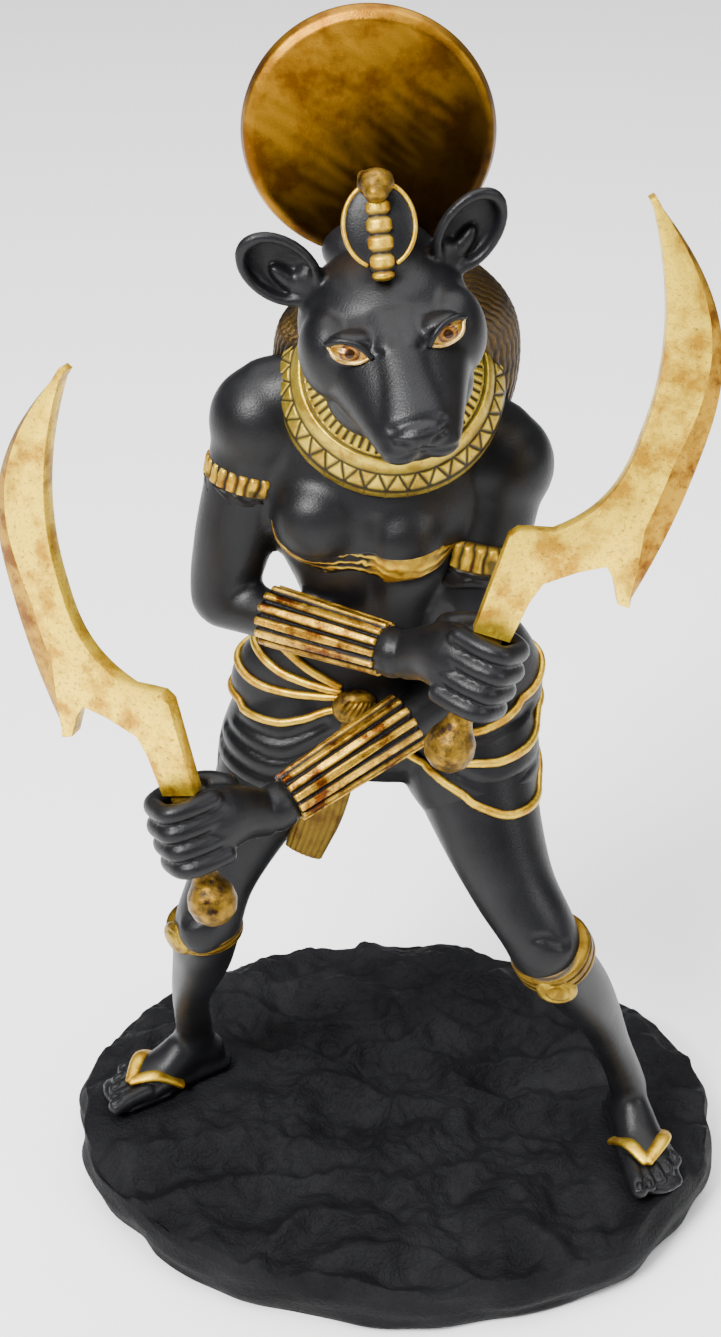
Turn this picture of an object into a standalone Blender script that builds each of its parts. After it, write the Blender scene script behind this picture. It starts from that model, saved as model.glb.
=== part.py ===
# A painted cast figurine: a lioness-headed warrior goddess, a sickle sword in each fist,
# standing astride on an oval rock. Metres, +Z up, the origin in the middle of the rock's
# underside. She faces -Y, so her right side is towards -X.

import math

import bmesh
import bpy
from mathutils import Matrix, Vector, noise
from mathutils.bvhtree import BVHTree

# Sizes that can be set one by one, in metres.
FIGURE_HEIGHT = 0.200  # from her soles to the top of the sun disc
ROCK_HEIGHT = 0.0127  # from the rock's underside to the seats under her feet
ROCK_MARGIN_RIGHT = 0.0053  # rock beyond her right toes
ROCK_MARGIN_LEFT = 0.0068  # rock beyond her left foot
ROCK_MARGIN_FRONT = 0.0185  # rock beyond her front toes
ROCK_MARGIN_BACK = 0.0403  # rock beyond her back heel
ROCK_SKEW = 0.0018  # how far its back lies to her right of its middle, and its front to her left
SEAT_GAP = 0.0003  # between a sole and its seat
GRIP_RADIUS = 0.0019  # sword grip inside the fist
GRIP_GAP = 0.0003  # round the grip, in the fist
SWORD_REACH = 0.0710  # from the middle of the grip to the tip of the blade
BLADE_THICKNESS = 0.0026
POMMEL_RADIUS = 0.0038
DISC_RADIUS = 0.0176
DISC_THICKNESS = 0.0042

# The pose and the carving are shares of her height, drawn on a figure 200 units tall.
DRAWN_HEIGHT = 200
UNIT = FIGURE_HEIGHT / DRAWN_HEIGHT
SIDES = ("right", "left")

# Each leg from the hip to the ankle: (centre, half width, half depth).
LEG = {
    "right": [((-13.0, -1.5, 88.0), 11.1, 11.6), ((-18.9, -4.6, 77.5), 10.3, 10.6),
              ((-24.5, -8.4, 67.5), 7.5, 8.2), ((-29.0, -11.8, 58.0), 5.6, 6.4),
              ((-31.3, -13.8, 51.5), 5.6, 6.0), ((-32.3, -13.0, 46.5), 5.6, 5.8),
              ((-33.3, -9.8, 40.0), 5.1, 5.7), ((-34.9, -6.4, 33.0), 4.2, 5.0),
              ((-36.2, -2.2, 25.5), 3.5, 4.2), ((-36.7, 2.0, 18.5), 3.3, 3.6),
              ((-36.8, 5.4, 12.5), 3.4, 3.5), ((-36.8, 6.6, 9.0), 3.4, 3.9)],
    "left": [((8.4, -1.5, 88.0), 11.8, 11.8), ((11.7, -7.4, 77.5), 10.6, 10.8),
             ((14.8, -13.4, 68.5), 8.6, 9.0), ((18.5, -18.4, 60.5), 7.0, 7.4),
             ((22.2, -22.0, 55.0), 6.3, 6.5), ((24.5, -22.8, 50.0), 6.0, 5.9),
             ((27.7, -20.4, 44.5), 5.6, 5.7), ((31.1, -17.4, 38.0), 5.0, 5.4),
             ((34.4, -14.4, 30.5), 4.0, 4.4), ((37.4, -11.8, 22.0), 3.3, 3.5),
             ((40.3, -9.6, 13.5), 3.3, 3.4), ((41.4, -8.8, 9.0), 3.5, 3.9)],
}
KNEECAP = {"right": Vector((-32.4, -17.2, 50.5)), "left": Vector((24.0, -26.0, 53.0))}
ANKLE = {"right": Vector((-36.8, 6.6, 9.0)), "left": Vector((41.4, -8.8, 9.0))}
FOOT_TURN = {"right": -60.0, "left": 14.0}  # toes out from straight ahead, in degrees
SHOULDER = {"right": Vector((-20.9, -10.5, 138.8)), "left": Vector((14.8, -10.5, 131.8))}
ELBOW = {"right": Vector((-28.0, -11.5, 109.4)), "left": Vector((8.9, -16.0, 96.5))}
WRIST = {"right": Vector((0.2, -29.5, 109.8)), "left": Vector((-20.6, -32.8, 84.2))}
FIST = {"right": Vector((10.6, -36.0, 111.2)), "left": Vector((-31.2, -40.0, 86.8))}
SWORD_LEAN = 8.0  # blades lean back from upright, in degrees
SWORD_TILT = {"right": 17.8, "left": -12.4}  # and to the side
SWORD_SWING = {"right": 0.0, "left": -23.0}  # turned about the grip
HEAD_CENTRE = Vector((-2.9, -23.5, 159.5))
HEAD_PITCH, HEAD_ROLL, HEAD_YAW = 20.0, -9.0, 8.0
DISC_CENTRE = Vector((-5.2, -12.0, 182.0))
DISC_LEAN = 1.0  # forwards, in degrees

BODY_VOXEL = 0.8  # units
HEAD_VOXEL = 0.55
FIGURE_VOXEL = 0.6
FIGURE_TRIANGLES = 7000


def material(name, colour, roughness, metallic):
    made = bpy.data.materials.new(name)
    made.use_nodes = True
    shader = made.node_tree.nodes["Principled BSDF"]
    shader.inputs["Base Color"].default_value = (*colour, 1.0)
    shader.inputs["Roughness"].default_value = roughness
    shader.inputs["Metallic"].default_value = metallic
    return made


def object_of(name, shape, paint):
    """The bmesh as a named object with its paint."""
    mesh = bpy.data.meshes.new(name)
    bmesh.ops.recalc_face_normals(shape, faces=shape.faces)
    shape.to_mesh(mesh)
    shape.free()
    mesh.shade_smooth()
    mesh.materials.append(paint)
    made = bpy.data.objects.new(name, mesh)
    bpy.context.scene.collection.objects.link(made)
    return made


def spline(rows, steps):
    """Rows of numbers or vectors, with more rows between them on a smooth curve."""
    rows = [[Vector(v) if hasattr(v, "__len__") else v for v in row] for row in rows]
    count = len(rows)
    made = []
    for i in range(count - 1):
        before, a, b, after = (rows[max(i - 1, 0)], rows[i], rows[i + 1], rows[min(i + 2, count - 1)])
        for step in range(steps):
            t = step / steps
            made.append([
                q + 0.5 * t * ((r - p) + t * ((2 * p - 5 * q + 4 * r - s) + t * (3 * (q - r) + s - p)))
                for p, q, r, s in zip(before, a, b, after)
            ])
    made.append(rows[-1])
    return made


def loft(shape, rows, side, steps=4, around=16, dome=0.6):
    """A closed tube through rows of (centre, half width, half depth), its width along side."""
    rows = spline(rows, steps)
    rings = []
    for i, (centre, width, depth, *own) in enumerate(rows):
        along = (rows[min(i + 1, len(rows) - 1)][0] - rows[max(i - 1, 0)][0]).normalized()
        across = Vector(own[0] if own else side)
        across = (across - across.dot(along) * along).normalized()
        rings.append((centre, along, across, along.cross(across), width, depth))
    ends = []
    for ring, sign in ((rings[0], -1), (rings[-1], 1)):
        centre, along, across, deep, width, depth = ring
        reach = dome * min(width, depth)
        ends.append([
            (centre + sign * reach * math.sin(a) * along, along, across, deep,
             width * math.cos(a), depth * math.cos(a))
            for a in (math.radians(35), math.radians(65))
        ])
    rings = ends[0][::-1] + rings + ends[1]
    loops = []
    for centre, along, across, deep, width, depth in rings:
        loops.append([
            shape.verts.new(centre + width * math.cos(a) * across + depth * math.sin(a) * deep)
            for a in (2 * math.pi * k / around for k in range(around))
        ])
    for first, second in zip(loops, loops[1:]):
        for k in range(around):
            shape.faces.new((first[k], first[k - 1], second[k - 1], second[k]))
    shape.faces.new(loops[0])
    shape.faces.new(loops[-1][::-1])


def limb(shape, start, end, profile, front, **how):
    """A tube from start to end. Its profile is rows of (share, half width, half depth, forward)."""
    along = (end - start).normalized()
    ahead = Vector(front)
    ahead = (ahead - ahead.dot(along) * along).normalized()
    rows = [(start.lerp(end, share) + forward * ahead, width, depth)
            for share, width, depth, forward in profile]
    loft(shape, rows, ahead.cross(along), **how)


def blob(shape, centre, radii, turn=None, segments=20):
    """An ellipsoid, turned by a matrix."""
    size = Matrix.Diagonal((*radii, 1.0))
    place = Matrix.Translation(centre) @ (turn.to_4x4() if turn else Matrix.Identity(4)) @ size
    bmesh.ops.create_uvsphere(shape, u_segments=segments, v_segments=segments // 2 + 2,
                              radius=1.0, matrix=place)


def facing(along, ahead):
    """A turn whose Z runs along a direction and whose -Y is as near as can be to ahead."""
    z = Vector(along).normalized()
    back = -Vector(ahead)
    y = (back - back.dot(z) * z).normalized()
    return Matrix((y.cross(z), y, z)).transposed()


# Limbs

UPPER_ARM = [(0.0, 7.0, 6.8, 0.0), (0.3, 6.5, 6.2, 0.2), (0.6, 6.2, 6.0, 0.2), (0.85, 5.5, 5.3, 0.0),
             (1.0, 4.7, 4.6, 0.0)]
FOREARM = [(0.0, 4.3, 4.3, 0.0), (0.2, 3.9, 4.0, 0.0), (0.5, 3.6, 3.6, 0.0), (0.85, 3.0, 3.2, 0.0),
           (1.0, 3.1, 3.4, 0.0)]


def sword_turn(side):
    """The grip runs along its Z, and the blade's flat faces -Y."""
    tilt, lean = math.radians(SWORD_TILT[side]), math.radians(SWORD_LEAN)
    up = Vector((math.sin(tilt), math.cos(tilt) * math.sin(lean), math.cos(tilt) * math.cos(lean)))
    swing = Matrix.Rotation(math.radians(SWORD_SWING[side]), 3, "Z")
    return facing(up, (0, -math.cos(lean), math.sin(lean))) @ swing


def fist_frame(side):
    """The grip, the way from wrist to knuckles, and the way out of the back of the hand."""
    grip = sword_turn(side) @ Vector((0, 0, 1))
    reach = FIST[side] - ELBOW[side]
    knuckles = (reach - reach.dot(grip) * grip).normalized()
    back = grip.cross(knuckles)
    if back.y > 0:
        back = -back
    return grip, knuckles, back


def toes_ahead(side):
    turn = math.radians(FOOT_TURN[side])
    return Vector((math.sin(turn), -math.cos(turn), 0))


def leg(shape, side):
    loft(shape, LEG[side], (1, 0, 0), around=20)
    blob(shape, KNEECAP[side], (4.2, 3.4, 4.6))


def foot(shape, side):
    """A sandalled foot: a sole, an instep and a heel."""
    ankle, ahead = ANKLE[side], toes_ahead(side)
    ground = Vector((ankle.x, ankle.y, 0))
    big = inner_side(side)
    loft(shape, [(ground - 5.4 * ahead + Vector((0, 0, 1.3)), 3.4, 1.3),
                 (ground + 2.0 * ahead + Vector((0, 0, 1.3)), 4.0, 1.3),
                 (ground + 11.0 * ahead + Vector((0, 0, 1.3)), 5.6, 1.3),
                 (ground + 16.5 * ahead + 0.4 * big + Vector((0, 0, 1.3)), 5.0, 1.3)], big, dome=1.6)
    loft(shape, [(ankle - 3.4 * ahead + Vector((0, 0, -4.7)), 2.9, 3.0),
                 (ankle + 1.0 * ahead + Vector((0, 0, -2.9)), 3.4, 4.6),
                 (ankle + 6.6 * ahead + Vector((0, 0, -5.0)), 4.2, 3.3),
                 (ankle + 12.0 * ahead + Vector((0, 0, -6.2)), 4.8, 2.3)], big, dome=0.8)


def inner_side(side):
    """The way across the foot to the big toe."""
    ahead = toes_ahead(side)
    return Vector((-ahead.y, ahead.x, 0)) * (1 if side == "right" else -1)


def toes(shape, side):
    ankle, ahead, big = ANKLE[side], toes_ahead(side), inner_side(side)
    ground = Vector((ankle.x, ankle.y, 0))
    for toe in range(5):
        across = 4.1 - 2.05 * toe
        length = 18.2 - 0.35 * toe - 0.30 * toe * toe
        thick = 1.45 if toe == 0 else 1.05
        root = ground + across * 0.85 * big + 11.0 * ahead + Vector((0, 0, 3.2))
        tip = ground + across * big + length * ahead + Vector((0, 0, 3.0))
        limb(shape, root, tip, [(0, thick, thick, 0), (0.5, thick, thick, 0), (1, thick, thick, 0)],
             (0, 0, 1), steps=2, around=10, dome=1.0)


def arm(shape, side):
    limb(shape, SHOULDER[side], ELBOW[side], UPPER_ARM, (0, -1, 0))
    limb(shape, ELBOW[side], WRIST[side], FOREARM, (0, 0, 1))
    blob(shape, ELBOW[side] + Vector((0, 0.4, 0.2)), (4.3, 4.3, 4.3))
    blob(shape, SHOULDER[side], (7.9, 7.8, 8.4))


FOOT_HALF_WIDTH = 6.4
FINGER_PITCH, FINGER_RADIUS = 3.1, 1.5


def hand(shape, side):
    """A fist shut round the grip."""
    grip, knuckles, back = fist_frame(side)
    middle = FIST[side]
    out = (GRIP_RADIUS + GRIP_GAP) / UNIT + FINGER_RADIUS

    def at(k, b, g):
        return middle + k * knuckles + b * back + g * grip

    loft(shape, [(WRIST[side], 3.6, 3.1), (WRIST[side].lerp(at(-6.0, 1.4, 0), 0.6), 4.1, 3.2),
                 (at(-4.6, 1.8, 0), 5.2, 3.6), (at(-1.8, 2.2, 0), 5.6, 3.2)], grip, dome=0.5)
    for finger in range(4):
        height = (1.5 - finger) * FINGER_PITCH
        reach = 4.9 - 0.35 * abs(finger - 1.2)
        bend = [(-3.0, out + 0.2), (1.0, out + 0.4), (reach - 0.7, out - 0.4), (reach, out - 2.6),
                (reach - 0.3, -out + 1.6), (reach - 2.4, -out + 0.1), (-0.6, -out)]
        loft(shape, [(at(k, b, height), FINGER_RADIUS, FINGER_RADIUS) for k, b in bend],
             grip, steps=3, around=10, dome=0.9)
    loft(shape, [(at(-7.0, -0.4, 3.4), 2.1, 2.2), (at(-4.6, -2.9, 4.4), 1.9, 1.9),
                 (at(-1.4, -4.9, 4.2), 1.6, 1.6), (at(2.2, -5.4, 2.8), 1.4, 1.4)],
         grip, steps=3, around=10, dome=0.9)
    blob(shape, at(-3.6, -2.2, 0), (3.2, 3.0, 5.2), facing(grip, -back))


# Body

def tilted(degrees):
    return (math.cos(math.radians(degrees)), 0, -math.sin(math.radians(degrees)))


SHOULDER_DROP = 11.0  # her left shoulder is the lower one, in degrees
TORSO = [((-2.5, -1.5, 82.0), 13.5, 9.5, tilted(0)), ((-2.3, -2.6, 90.0), 16.2, 10.2, tilted(0)),
         ((-2.8, -5.2, 98.5), 14.0, 8.8, tilted(1)), ((-3.9, -8.4, 106.0), 11.2, 7.4, tilted(4)),
         ((-4.4, -10.6, 112.0), 11.4, 7.8, tilted(7)),
         ((-4.4, -12.2, 119.0), 14.2, 8.8, tilted(SHOULDER_DROP)),
         ((-4.2, -12.8, 127.0), 16.2, 9.2, tilted(SHOULDER_DROP)),
         ((-4.0, -12.6, 134.0), 16.0, 8.2, tilted(SHOULDER_DROP)),
         ((-3.8, -13.0, 140.0), 13.0, 7.4, tilted(SHOULDER_DROP)),
         ((-3.4, -15.6, 146.0), 10.2, 8.6, tilted(6)), ((-2.6, -18.6, 152.0), 9.6, 8.6, tilted(0)),
         ((-2.2, -21.0, 157.0), 8.0, 7.4, tilted(-6))]
BREAST = {"right": Vector((-12.4, -17.6, 126.2)), "left": Vector((0.0, -18.0, 123.4))}
SEAT = {"right": Vector((-10.5, 4.0, 84.5)), "left": Vector((5.4, 4.0, 84.0))}


def torso(shape):
    loft(shape, TORSO, (1, 0, 0), around=24)
    for side in SIDES:
        blob(shape, BREAST[side], (7.0, 5.8, 6.8))
        blob(shape, SEAT[side], (9.2, 7.8, 9.8))
        limb(shape, Vector((-3.6, -12.0, 145.5)), SHOULDER[side] + Vector((0, 0.6, 2.8)),
             [(0, 6.4, 6.8, 0), (0.5, 6.2, 6.8, 0), (1, 6.0, 6.4, 0)], (0, 0, 1))


# How far down the thigh the cloth ends, and how far it stands off there.
HEM = {"right": (0.62, 0.9), "left": (0.5, 0.35)}


def kilt(shape):
    """Cloth wound round the hips and the tops of the thighs."""
    loft(shape, [((-2.4, -2.4, 80.0), 22.2, 11.4), ((-2.2, -2.6, 86.0), 24.6, 12.4),
                 ((-2.0, -3.4, 92.0), 25.1, 11.8), ((-2.2, -5.0, 98.0), 22.8, 10.4),
                 ((-2.6, -6.4, 103.0), 18.8, 9.0)], (1, 0, 0), around=28)
    for side in SIDES:
        down, off = HEM[side]
        top, middle, low = [(Vector(centre), width, depth) for centre, width, depth in LEG[side][:3]]
        hem = (middle[0].lerp(low[0], down), middle[1] + (low[1] - middle[1]) * down + off,
               middle[2] + (low[2] - middle[2]) * down + off)
        loft(shape, [(top[0], top[1] + 1.0, top[2] + 1.0),
                     (middle[0], middle[1] + 0.9, middle[2] + 0.9), hem], (1, 0, 0), dome=0.1)


# Bands rolled at the edge of the cloth: (angle round the hips from the front, height) pairs.
SWAGS = [
    [(-6, 92), (-32, 89.0), (-62, 88.0), (-92, 88.5), (-130, 91), (-180, 95)],
    [(-6, 93), (-30, 95.0), (-60, 97.0), (-95, 99.5), (-140, 101)],
    [(34, 91), (62, 92.0), (90, 94.5), (130, 97), (175, 98)],
    [(20, 86), (50, 84.0), (80, 83.0), (110, 84.5), (150, 88), (180, 90)],
    [(8, 84), (30, 79.0), (52, 76.4), (76, 75.4), (104, 76.6), (140, 80)],
]
HIP_AXIS = Vector((-2.4, -3.4, 0))
SWAG_RADIUS = 1.15


def cloth_point(surface, angle, height):
    """Where a level line in from outside first meets the cloth."""
    out = Vector((math.sin(math.radians(angle)), -math.cos(math.radians(angle)), 0))
    start = HIP_AXIS + 60 * out + Vector((0, 0, height))
    found = surface.ray_cast(start, -out)[0]
    return found + 0.3 * out if found else start - 45 * out


def swags(shape, surface):
    for path in SWAGS:
        rows = [(cloth_point(surface, angle, height), SWAG_RADIUS, SWAG_RADIUS)
                for angle, height in spline(path, 5)]
        loft(shape, rows, (0, 0, 1), steps=1, around=8)


def clasp(shape):
    """The knot of the sash, and its end that hangs between the thighs."""
    blob(shape, (-7.2, -15.6, 92.6), (3.6, 2.2, 3.0))
    loft(shape, [((-7.8, -13.8, 89.0), 2.2, 1.2), ((-9.8, -14.4, 81.0), 3.0, 1.1),
                 ((-12.6, -14.0, 72.5), 3.7, 1.1), ((-15.6, -13.4, 63.9), 3.3, 1.1)],
         (1, -0.2, 0.2), dome=0.3)


# Ornaments

COLLAR_CENTRE = Vector((-1.6, -15.8, 148.3))
COLLAR_INNER, COLLAR_RING, COLLAR_OUTER = 8.6, 13.9, 16.6
COLLAR_PITCH, COLLAR_DROP = 49.0, 3.9  # the front hangs low, and her left side, in degrees


def collar_point(angle, radius, lift):
    """A point of the broad collar, which slopes down to the chest and follows the shoulders."""
    share = (radius - COLLAR_INNER) / (COLLAR_OUTER - COLLAR_INNER)
    fall = 6.5 * share * share + 0.8 * share
    tip = Matrix.Rotation(math.radians(COLLAR_PITCH), 3, "X")
    roll = Matrix.Rotation(math.radians(COLLAR_DROP), 3, "Y")
    return COLLAR_CENTRE + roll @ tip @ Vector((radius * math.sin(angle), -radius * math.cos(angle),
                                                3.0 - fall + lift))


def collar(shape, around=48):
    profile = [(COLLAR_INNER, 0.8), (COLLAR_RING - 0.7, 1.0), (COLLAR_RING, 1.6), (COLLAR_RING + 0.7, 1.0),
               (COLLAR_OUTER, 0.9), (COLLAR_OUTER, -1.6), (COLLAR_RING, -2.0), (COLLAR_INNER, -2.4)]
    rings = [[shape.verts.new(collar_point(2 * math.pi * k / around, radius, lift)) for k in range(around)]
             for radius, lift in profile]
    for i, ring in enumerate(rings):
        following = rings[(i + 1) % len(rings)]
        for k in range(around):
            shape.faces.new((ring[k], ring[k - 1], following[k - 1], following[k]))


BRACER_START, BRACER_END, BRACER_FLUTES = 0.20, 0.80, 14


def bracer(shape, side, around=48):
    """A fluted cuff on the forearm, a little wider towards the elbow."""
    start, end = ELBOW[side], WRIST[side]
    along = (end - start).normalized()
    across = along.orthogonal().normalized()
    deep = along.cross(across)
    rings = []
    for share, radius in ((BRACER_START, 3.2), (BRACER_START, 4.8), (0.5, 4.5), (BRACER_END, 4.1),
                          (BRACER_END, 2.8)):
        ring = []
        for k in range(around):
            angle = 2 * math.pi * k / around
            r = radius - 0.35 * (1 - abs(math.cos(angle * BRACER_FLUTES / 2)))
            ring.append(shape.verts.new(start.lerp(end, share)
                                        + r * (math.cos(angle) * across + math.sin(angle) * deep)))
        rings.append(ring)
    for first, second in zip(rings, rings[1:]):
        for k in range(around):
            shape.faces.new((first[k], first[k - 1], second[k - 1], second[k]))
    shape.faces.new(rings[0])
    shape.faces.new(rings[-1][::-1])


def ring_round(shape, centre, axis, radius, thick, width, around=28):
    """A band round a limb."""
    turn = facing(axis, (0, -1, 0.01))
    sections = [(radius - 1.2, -width), (radius + 0.7 * thick, -width), (radius + thick, 0),
                (radius + 0.7 * thick, width), (radius - 1.2, width)]
    rings = [[shape.verts.new(centre + turn @ Vector((r * math.cos(a), r * math.sin(a), h)))
              for a in (2 * math.pi * k / around for k in range(around))] for r, h in sections]
    for first, second in zip(rings, rings[1:]):
        for k in range(around):
            shape.faces.new((first[k], first[k - 1], second[k - 1], second[k]))
    shape.faces.new(rings[0])
    shape.faces.new(rings[-1][::-1])


# Each armlet's share down the upper arm, its radius and its half width.
ARMLET = {"right": (0.27, 6.15, 1.9), "left": (0.36, 6.0, 2.5)}
BAND_THICK = 0.75


def armlet(shape, side):
    share, radius, width = ARMLET[side]
    start, end = SHOULDER[side], ELBOW[side]
    ring_round(shape, start.lerp(end, share), end - start, radius, BAND_THICK, width)


# Each garter's middle, the way down through it, its radius and its half width.
GARTER = {"right": (Vector((-32.3, -13.4, 48.8)), Vector((0.04, 0.10, -1)), 5.7, 1.3),
          "left": (Vector((25.0, -22.5, 50.2)), Vector((0.42, 0.38, -1)), 6.15, 2.0)}
# Its plate's middle, the way the plate faces and how far it is turned, in degrees.
PLATE = {"right": (Vector((-36.6, -16.4, 48.4)), (-0.8, -0.6, 0), 0.0),
         "left": (Vector((25.4, -28.2, 47.0)), (0.1, -1, -0.1), 18.0)}


def garter(shape, side):
    """A band round the knee, with an oval plate on it."""
    middle, down, radius, width = GARTER[side]
    ring_round(shape, middle, down, radius, BAND_THICK, width)
    middle, ahead, turn = PLATE[side]
    tilt = Matrix.Rotation(math.radians(turn), 3, "Y")
    blob(shape, middle, (3.2, 1.5, 2.3), facing((0, 0, 1), ahead) @ tilt)


def sandal_strap(shape, side):
    """Two straps that meet between the toes."""
    ahead = toes_ahead(side)
    big = inner_side(side)
    ground = Vector((ANKLE[side].x, ANKLE[side].y, 0))
    for sign in (1, -1):
        loft(shape, [(ground + 15.2 * ahead + 1.2 * big + Vector((0, 0, 4.4)), 1.0, 0.7),
                     (ground + 10.5 * ahead + sign * 3.2 * big + Vector((0, 0, 5.6)), 1.1, 0.7),
                     (ground + 5.0 * ahead + sign * 4.6 * big + Vector((0, 0, 3.6)), 1.1, 0.8)],
             ahead, steps=3, around=8)


# Head

def head_turn():
    pitch = Matrix.Rotation(math.radians(HEAD_PITCH), 3, "X")
    roll = Matrix.Rotation(math.radians(HEAD_ROLL), 3, "Y")
    return Matrix.Rotation(math.radians(HEAD_YAW), 3, "Z") @ roll @ pitch


def head_shape():
    """The lioness's head in its own frame: the muzzle towards -Y, the crown towards +Z."""
    head = bmesh.new()
    blob(head, (0, 0, 0), (12.2, 11.5, 9.8))
    blob(head, (0, -5.0, -1.0), (12.2, 9.5, 9.0))
    blob(head, (0, -7.5, -5.4), (10.4, 8.8, 6.8))
    blob(head, (0, -6.0, -8.6), (9.6, 8.4, 6.6))
    loft(head, [((0, -8.0, -0.5), 10.8, 8.2), ((0, -14.0, -0.9), 8.6, 6.5), ((0, -19.0, -1.2), 7.0, 4.8),
                ((0, -22.2, -1.4), 6.0, 3.9)], (1, 0, 0), around=20, dome=0.6)
    loft(head, [((0, -9.5, 6.6), 3.6, 2.4), ((0, -15.5, 4.0), 3.3, 2.0), ((0, -21.8, 1.5), 4.2, 1.6)],
         (1, 0, 0), dome=0.6)
    blob(head, (0, -24.0, 0.4), (3.9, 1.5, 1.9))
    loft(head, [((0, -8.0, -7.4), 7.4, 4.0), ((0, -14.5, -6.3), 5.6, 2.8), ((0, -20.8, -4.7), 4.0, 1.9)],
         (1, 0, 0), dome=0.9)
    for sign in (-1, 1):
        blob(head, (sign * 2.8, -22.7, -2.0), (3.3, 2.9, 2.5))
        blob(head, (sign * 8.3, -5.4, 0.6), (4.7, 6.2, 6.6))
        blob(head, (sign * 6.6, -9.8, 6.4), (3.4, 2.6, 2.6))
        ear(head, sign)
    return head


EAR = {"centre": (13.4, 3.0, 9.8), "length": 6.6, "width": 4.7, "depth": 3.8, "rim": 0.9}
EAR_RISE = 48  # outwards and up from level, in degrees


def ear(head, sign):
    """A round cup with a thick rim, open to the front."""
    cup = bmesh.new()
    blob(cup, (0, 0, 0), (EAR["length"], EAR["depth"], EAR["width"]), segments=28)
    for v in cup.verts:
        if v.co.y < -1e-4:
            v.co.y = -EAR["rim"] - 0.62 * v.co.y
    nod = Matrix.Rotation(math.radians(-12), 3, "X")
    turn = Matrix.Rotation(math.radians(-EAR_RISE * sign), 3, "Y") @ nod
    outward = Matrix.Rotation(math.radians(22 * sign), 3, "Z")
    centre = Vector((sign * EAR["centre"][0], EAR["centre"][1], EAR["centre"][2]))
    cup.transform(Matrix.Translation(centre) @ (outward @ turn).to_4x4())
    merge(head, cup)
    loft(head, [(centre + Vector((-6.0 * sign, -0.6, -6.4)), 3.6, 3.4),
                (centre + Vector((-2.4 * sign, 1.0, -3.2)), 3.2, 2.4)], (0, 0, 1), around=12)


def merge(shape, other):
    mesh = bpy.data.meshes.new("joined")
    other.to_mesh(mesh)
    other.free()
    shape.from_mesh(mesh)
    bpy.data.meshes.remove(mesh)


def headcloth(shape):
    """The wig's back, which spreads over the shoulder blades."""
    loft(shape, [((-2.0, -17.0, 164.5), 8.4, 6.4), ((-1.2, -13.6, 161.0), 13.6, 8.2),
                 ((-0.8, -9.8, 154.0), 17.4, 8.2), ((-1.2, -7.0, 145.0), 18.2, 6.8),
                 ((-2.2, -4.6, 135.0), 16.4, 4.4), ((-2.2, -4.4, 127.0), 15.0, 3.0)], (1, 0, 0), around=24)


def sun_disc(shape):
    """A thick disc with a rounded edge, leaning forwards over the brow."""
    radius, half = DISC_RADIUS / UNIT, 0.5 * DISC_THICKNESS / UNIT
    lean = math.radians(DISC_LEAN)
    normal = Vector((0, -math.cos(lean), -math.sin(lean)))
    rows = [(DISC_CENTRE + share * half * normal, radius - inset, radius - inset)
            for share, inset in ((-1.0, 1.3), (-0.7, 0.4), (0.0, 0.0), (0.7, 0.4), (1.0, 1.3))]
    loft(shape, rows, (1, 0, 0), steps=1, around=48, dome=0.02)
    blob(shape, DISC_CENTRE + Vector((1.4, -1.2, -16.0)), (8.0, 5.5, 5.0))


COBRA_FOOT, COBRA_TOP = Vector((-3.3, -29.5, 168.6)), Vector((-4.4, -25.0, 180.5))


def cobra(shape):
    """The rearing cobra on her brow: a hood, a belly of broad scales and a head."""
    axis = COBRA_TOP - COBRA_FOOT
    ahead = Vector((0, -1, 0))
    turn = facing(axis, ahead)
    blob(shape, COBRA_FOOT.lerp(COBRA_TOP, 0.46), (4.7, 1.6, 5.6), turn)
    limb(shape, COBRA_FOOT, COBRA_FOOT.lerp(COBRA_TOP, 0.86),
         [(0, 1.7, 2.0, 0.4), (0.4, 1.7, 1.7, 1.1), (0.8, 1.5, 1.6, 1.2), (1, 1.3, 1.6, 1.0)], ahead)
    blob(shape, COBRA_FOOT.lerp(COBRA_TOP, 0.90) + 1.6 * ahead, (2.2, 2.6, 2.0), turn)


# Whole pieces

def skin(shape, voxel, rounds):
    """The shapes melted into one closed skin and softened."""
    helper = object_of("helper", shape, bpy.data.materials["black paint"])
    one = helper.modifiers.new("one skin", "REMESH")
    one.mode = "VOXEL"
    one.voxel_size = voxel
    soften = helper.modifiers.new("soften", "SMOOTH")
    soften.factor = 0.5
    soften.iterations = rounds
    made = bmesh.new()
    made.from_object(helper, bpy.context.evaluated_depsgraph_get())
    bpy.data.objects.remove(helper)
    return made


def figure(paint):
    """One casting. The bores through the fists are cut last, so that they stay round."""
    body = bmesh.new()
    torso(body)
    for side in SIDES:
        leg(body, side)
        arm(body, side)
        foot(body, side)
    headcloth(body)
    shape = skin(body, BODY_VOXEL, 6)
    kilt(shape)
    shape = skin(shape, BODY_VOXEL, 2)
    surface = BVHTree.FromBMesh(shape)
    swags(shape, surface)
    clasp(shape)
    for side in SIDES:
        toes(shape, side)
        hand(shape, side)
        bracer(shape, side)
        armlet(shape, side)
        garter(shape, side)
        sandal_strap(shape, side)
    face = skin(head_shape(), HEAD_VOXEL, 4)
    face.transform(Matrix.Translation(HEAD_CENTRE) @ head_turn().to_4x4())
    merge(shape, face)
    collar(shape)
    sun_disc(shape)
    cobra(shape)
    made = object_of("figure", skin(shape, FIGURE_VOXEL, 1), paint)
    made.data.transform(Matrix.Translation((0, 0, SOLE_LEVEL)) @ Matrix.Scale(UNIT, 4))
    fewer = made.modifiers.new("fewer faces", "DECIMATE")
    fewer.ratio = FIGURE_TRIANGLES / sum(len(p.vertices) - 2 for p in made.data.polygons)
    for name, cutter in [(f"bore_{side}", fist_bore(side)) for side in SIDES] + [("soles", sole_cut())]:
        cut = made.modifiers.new(name, "BOOLEAN")
        cut.operation = "DIFFERENCE"
        cut.object = cutter
    return made


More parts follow.
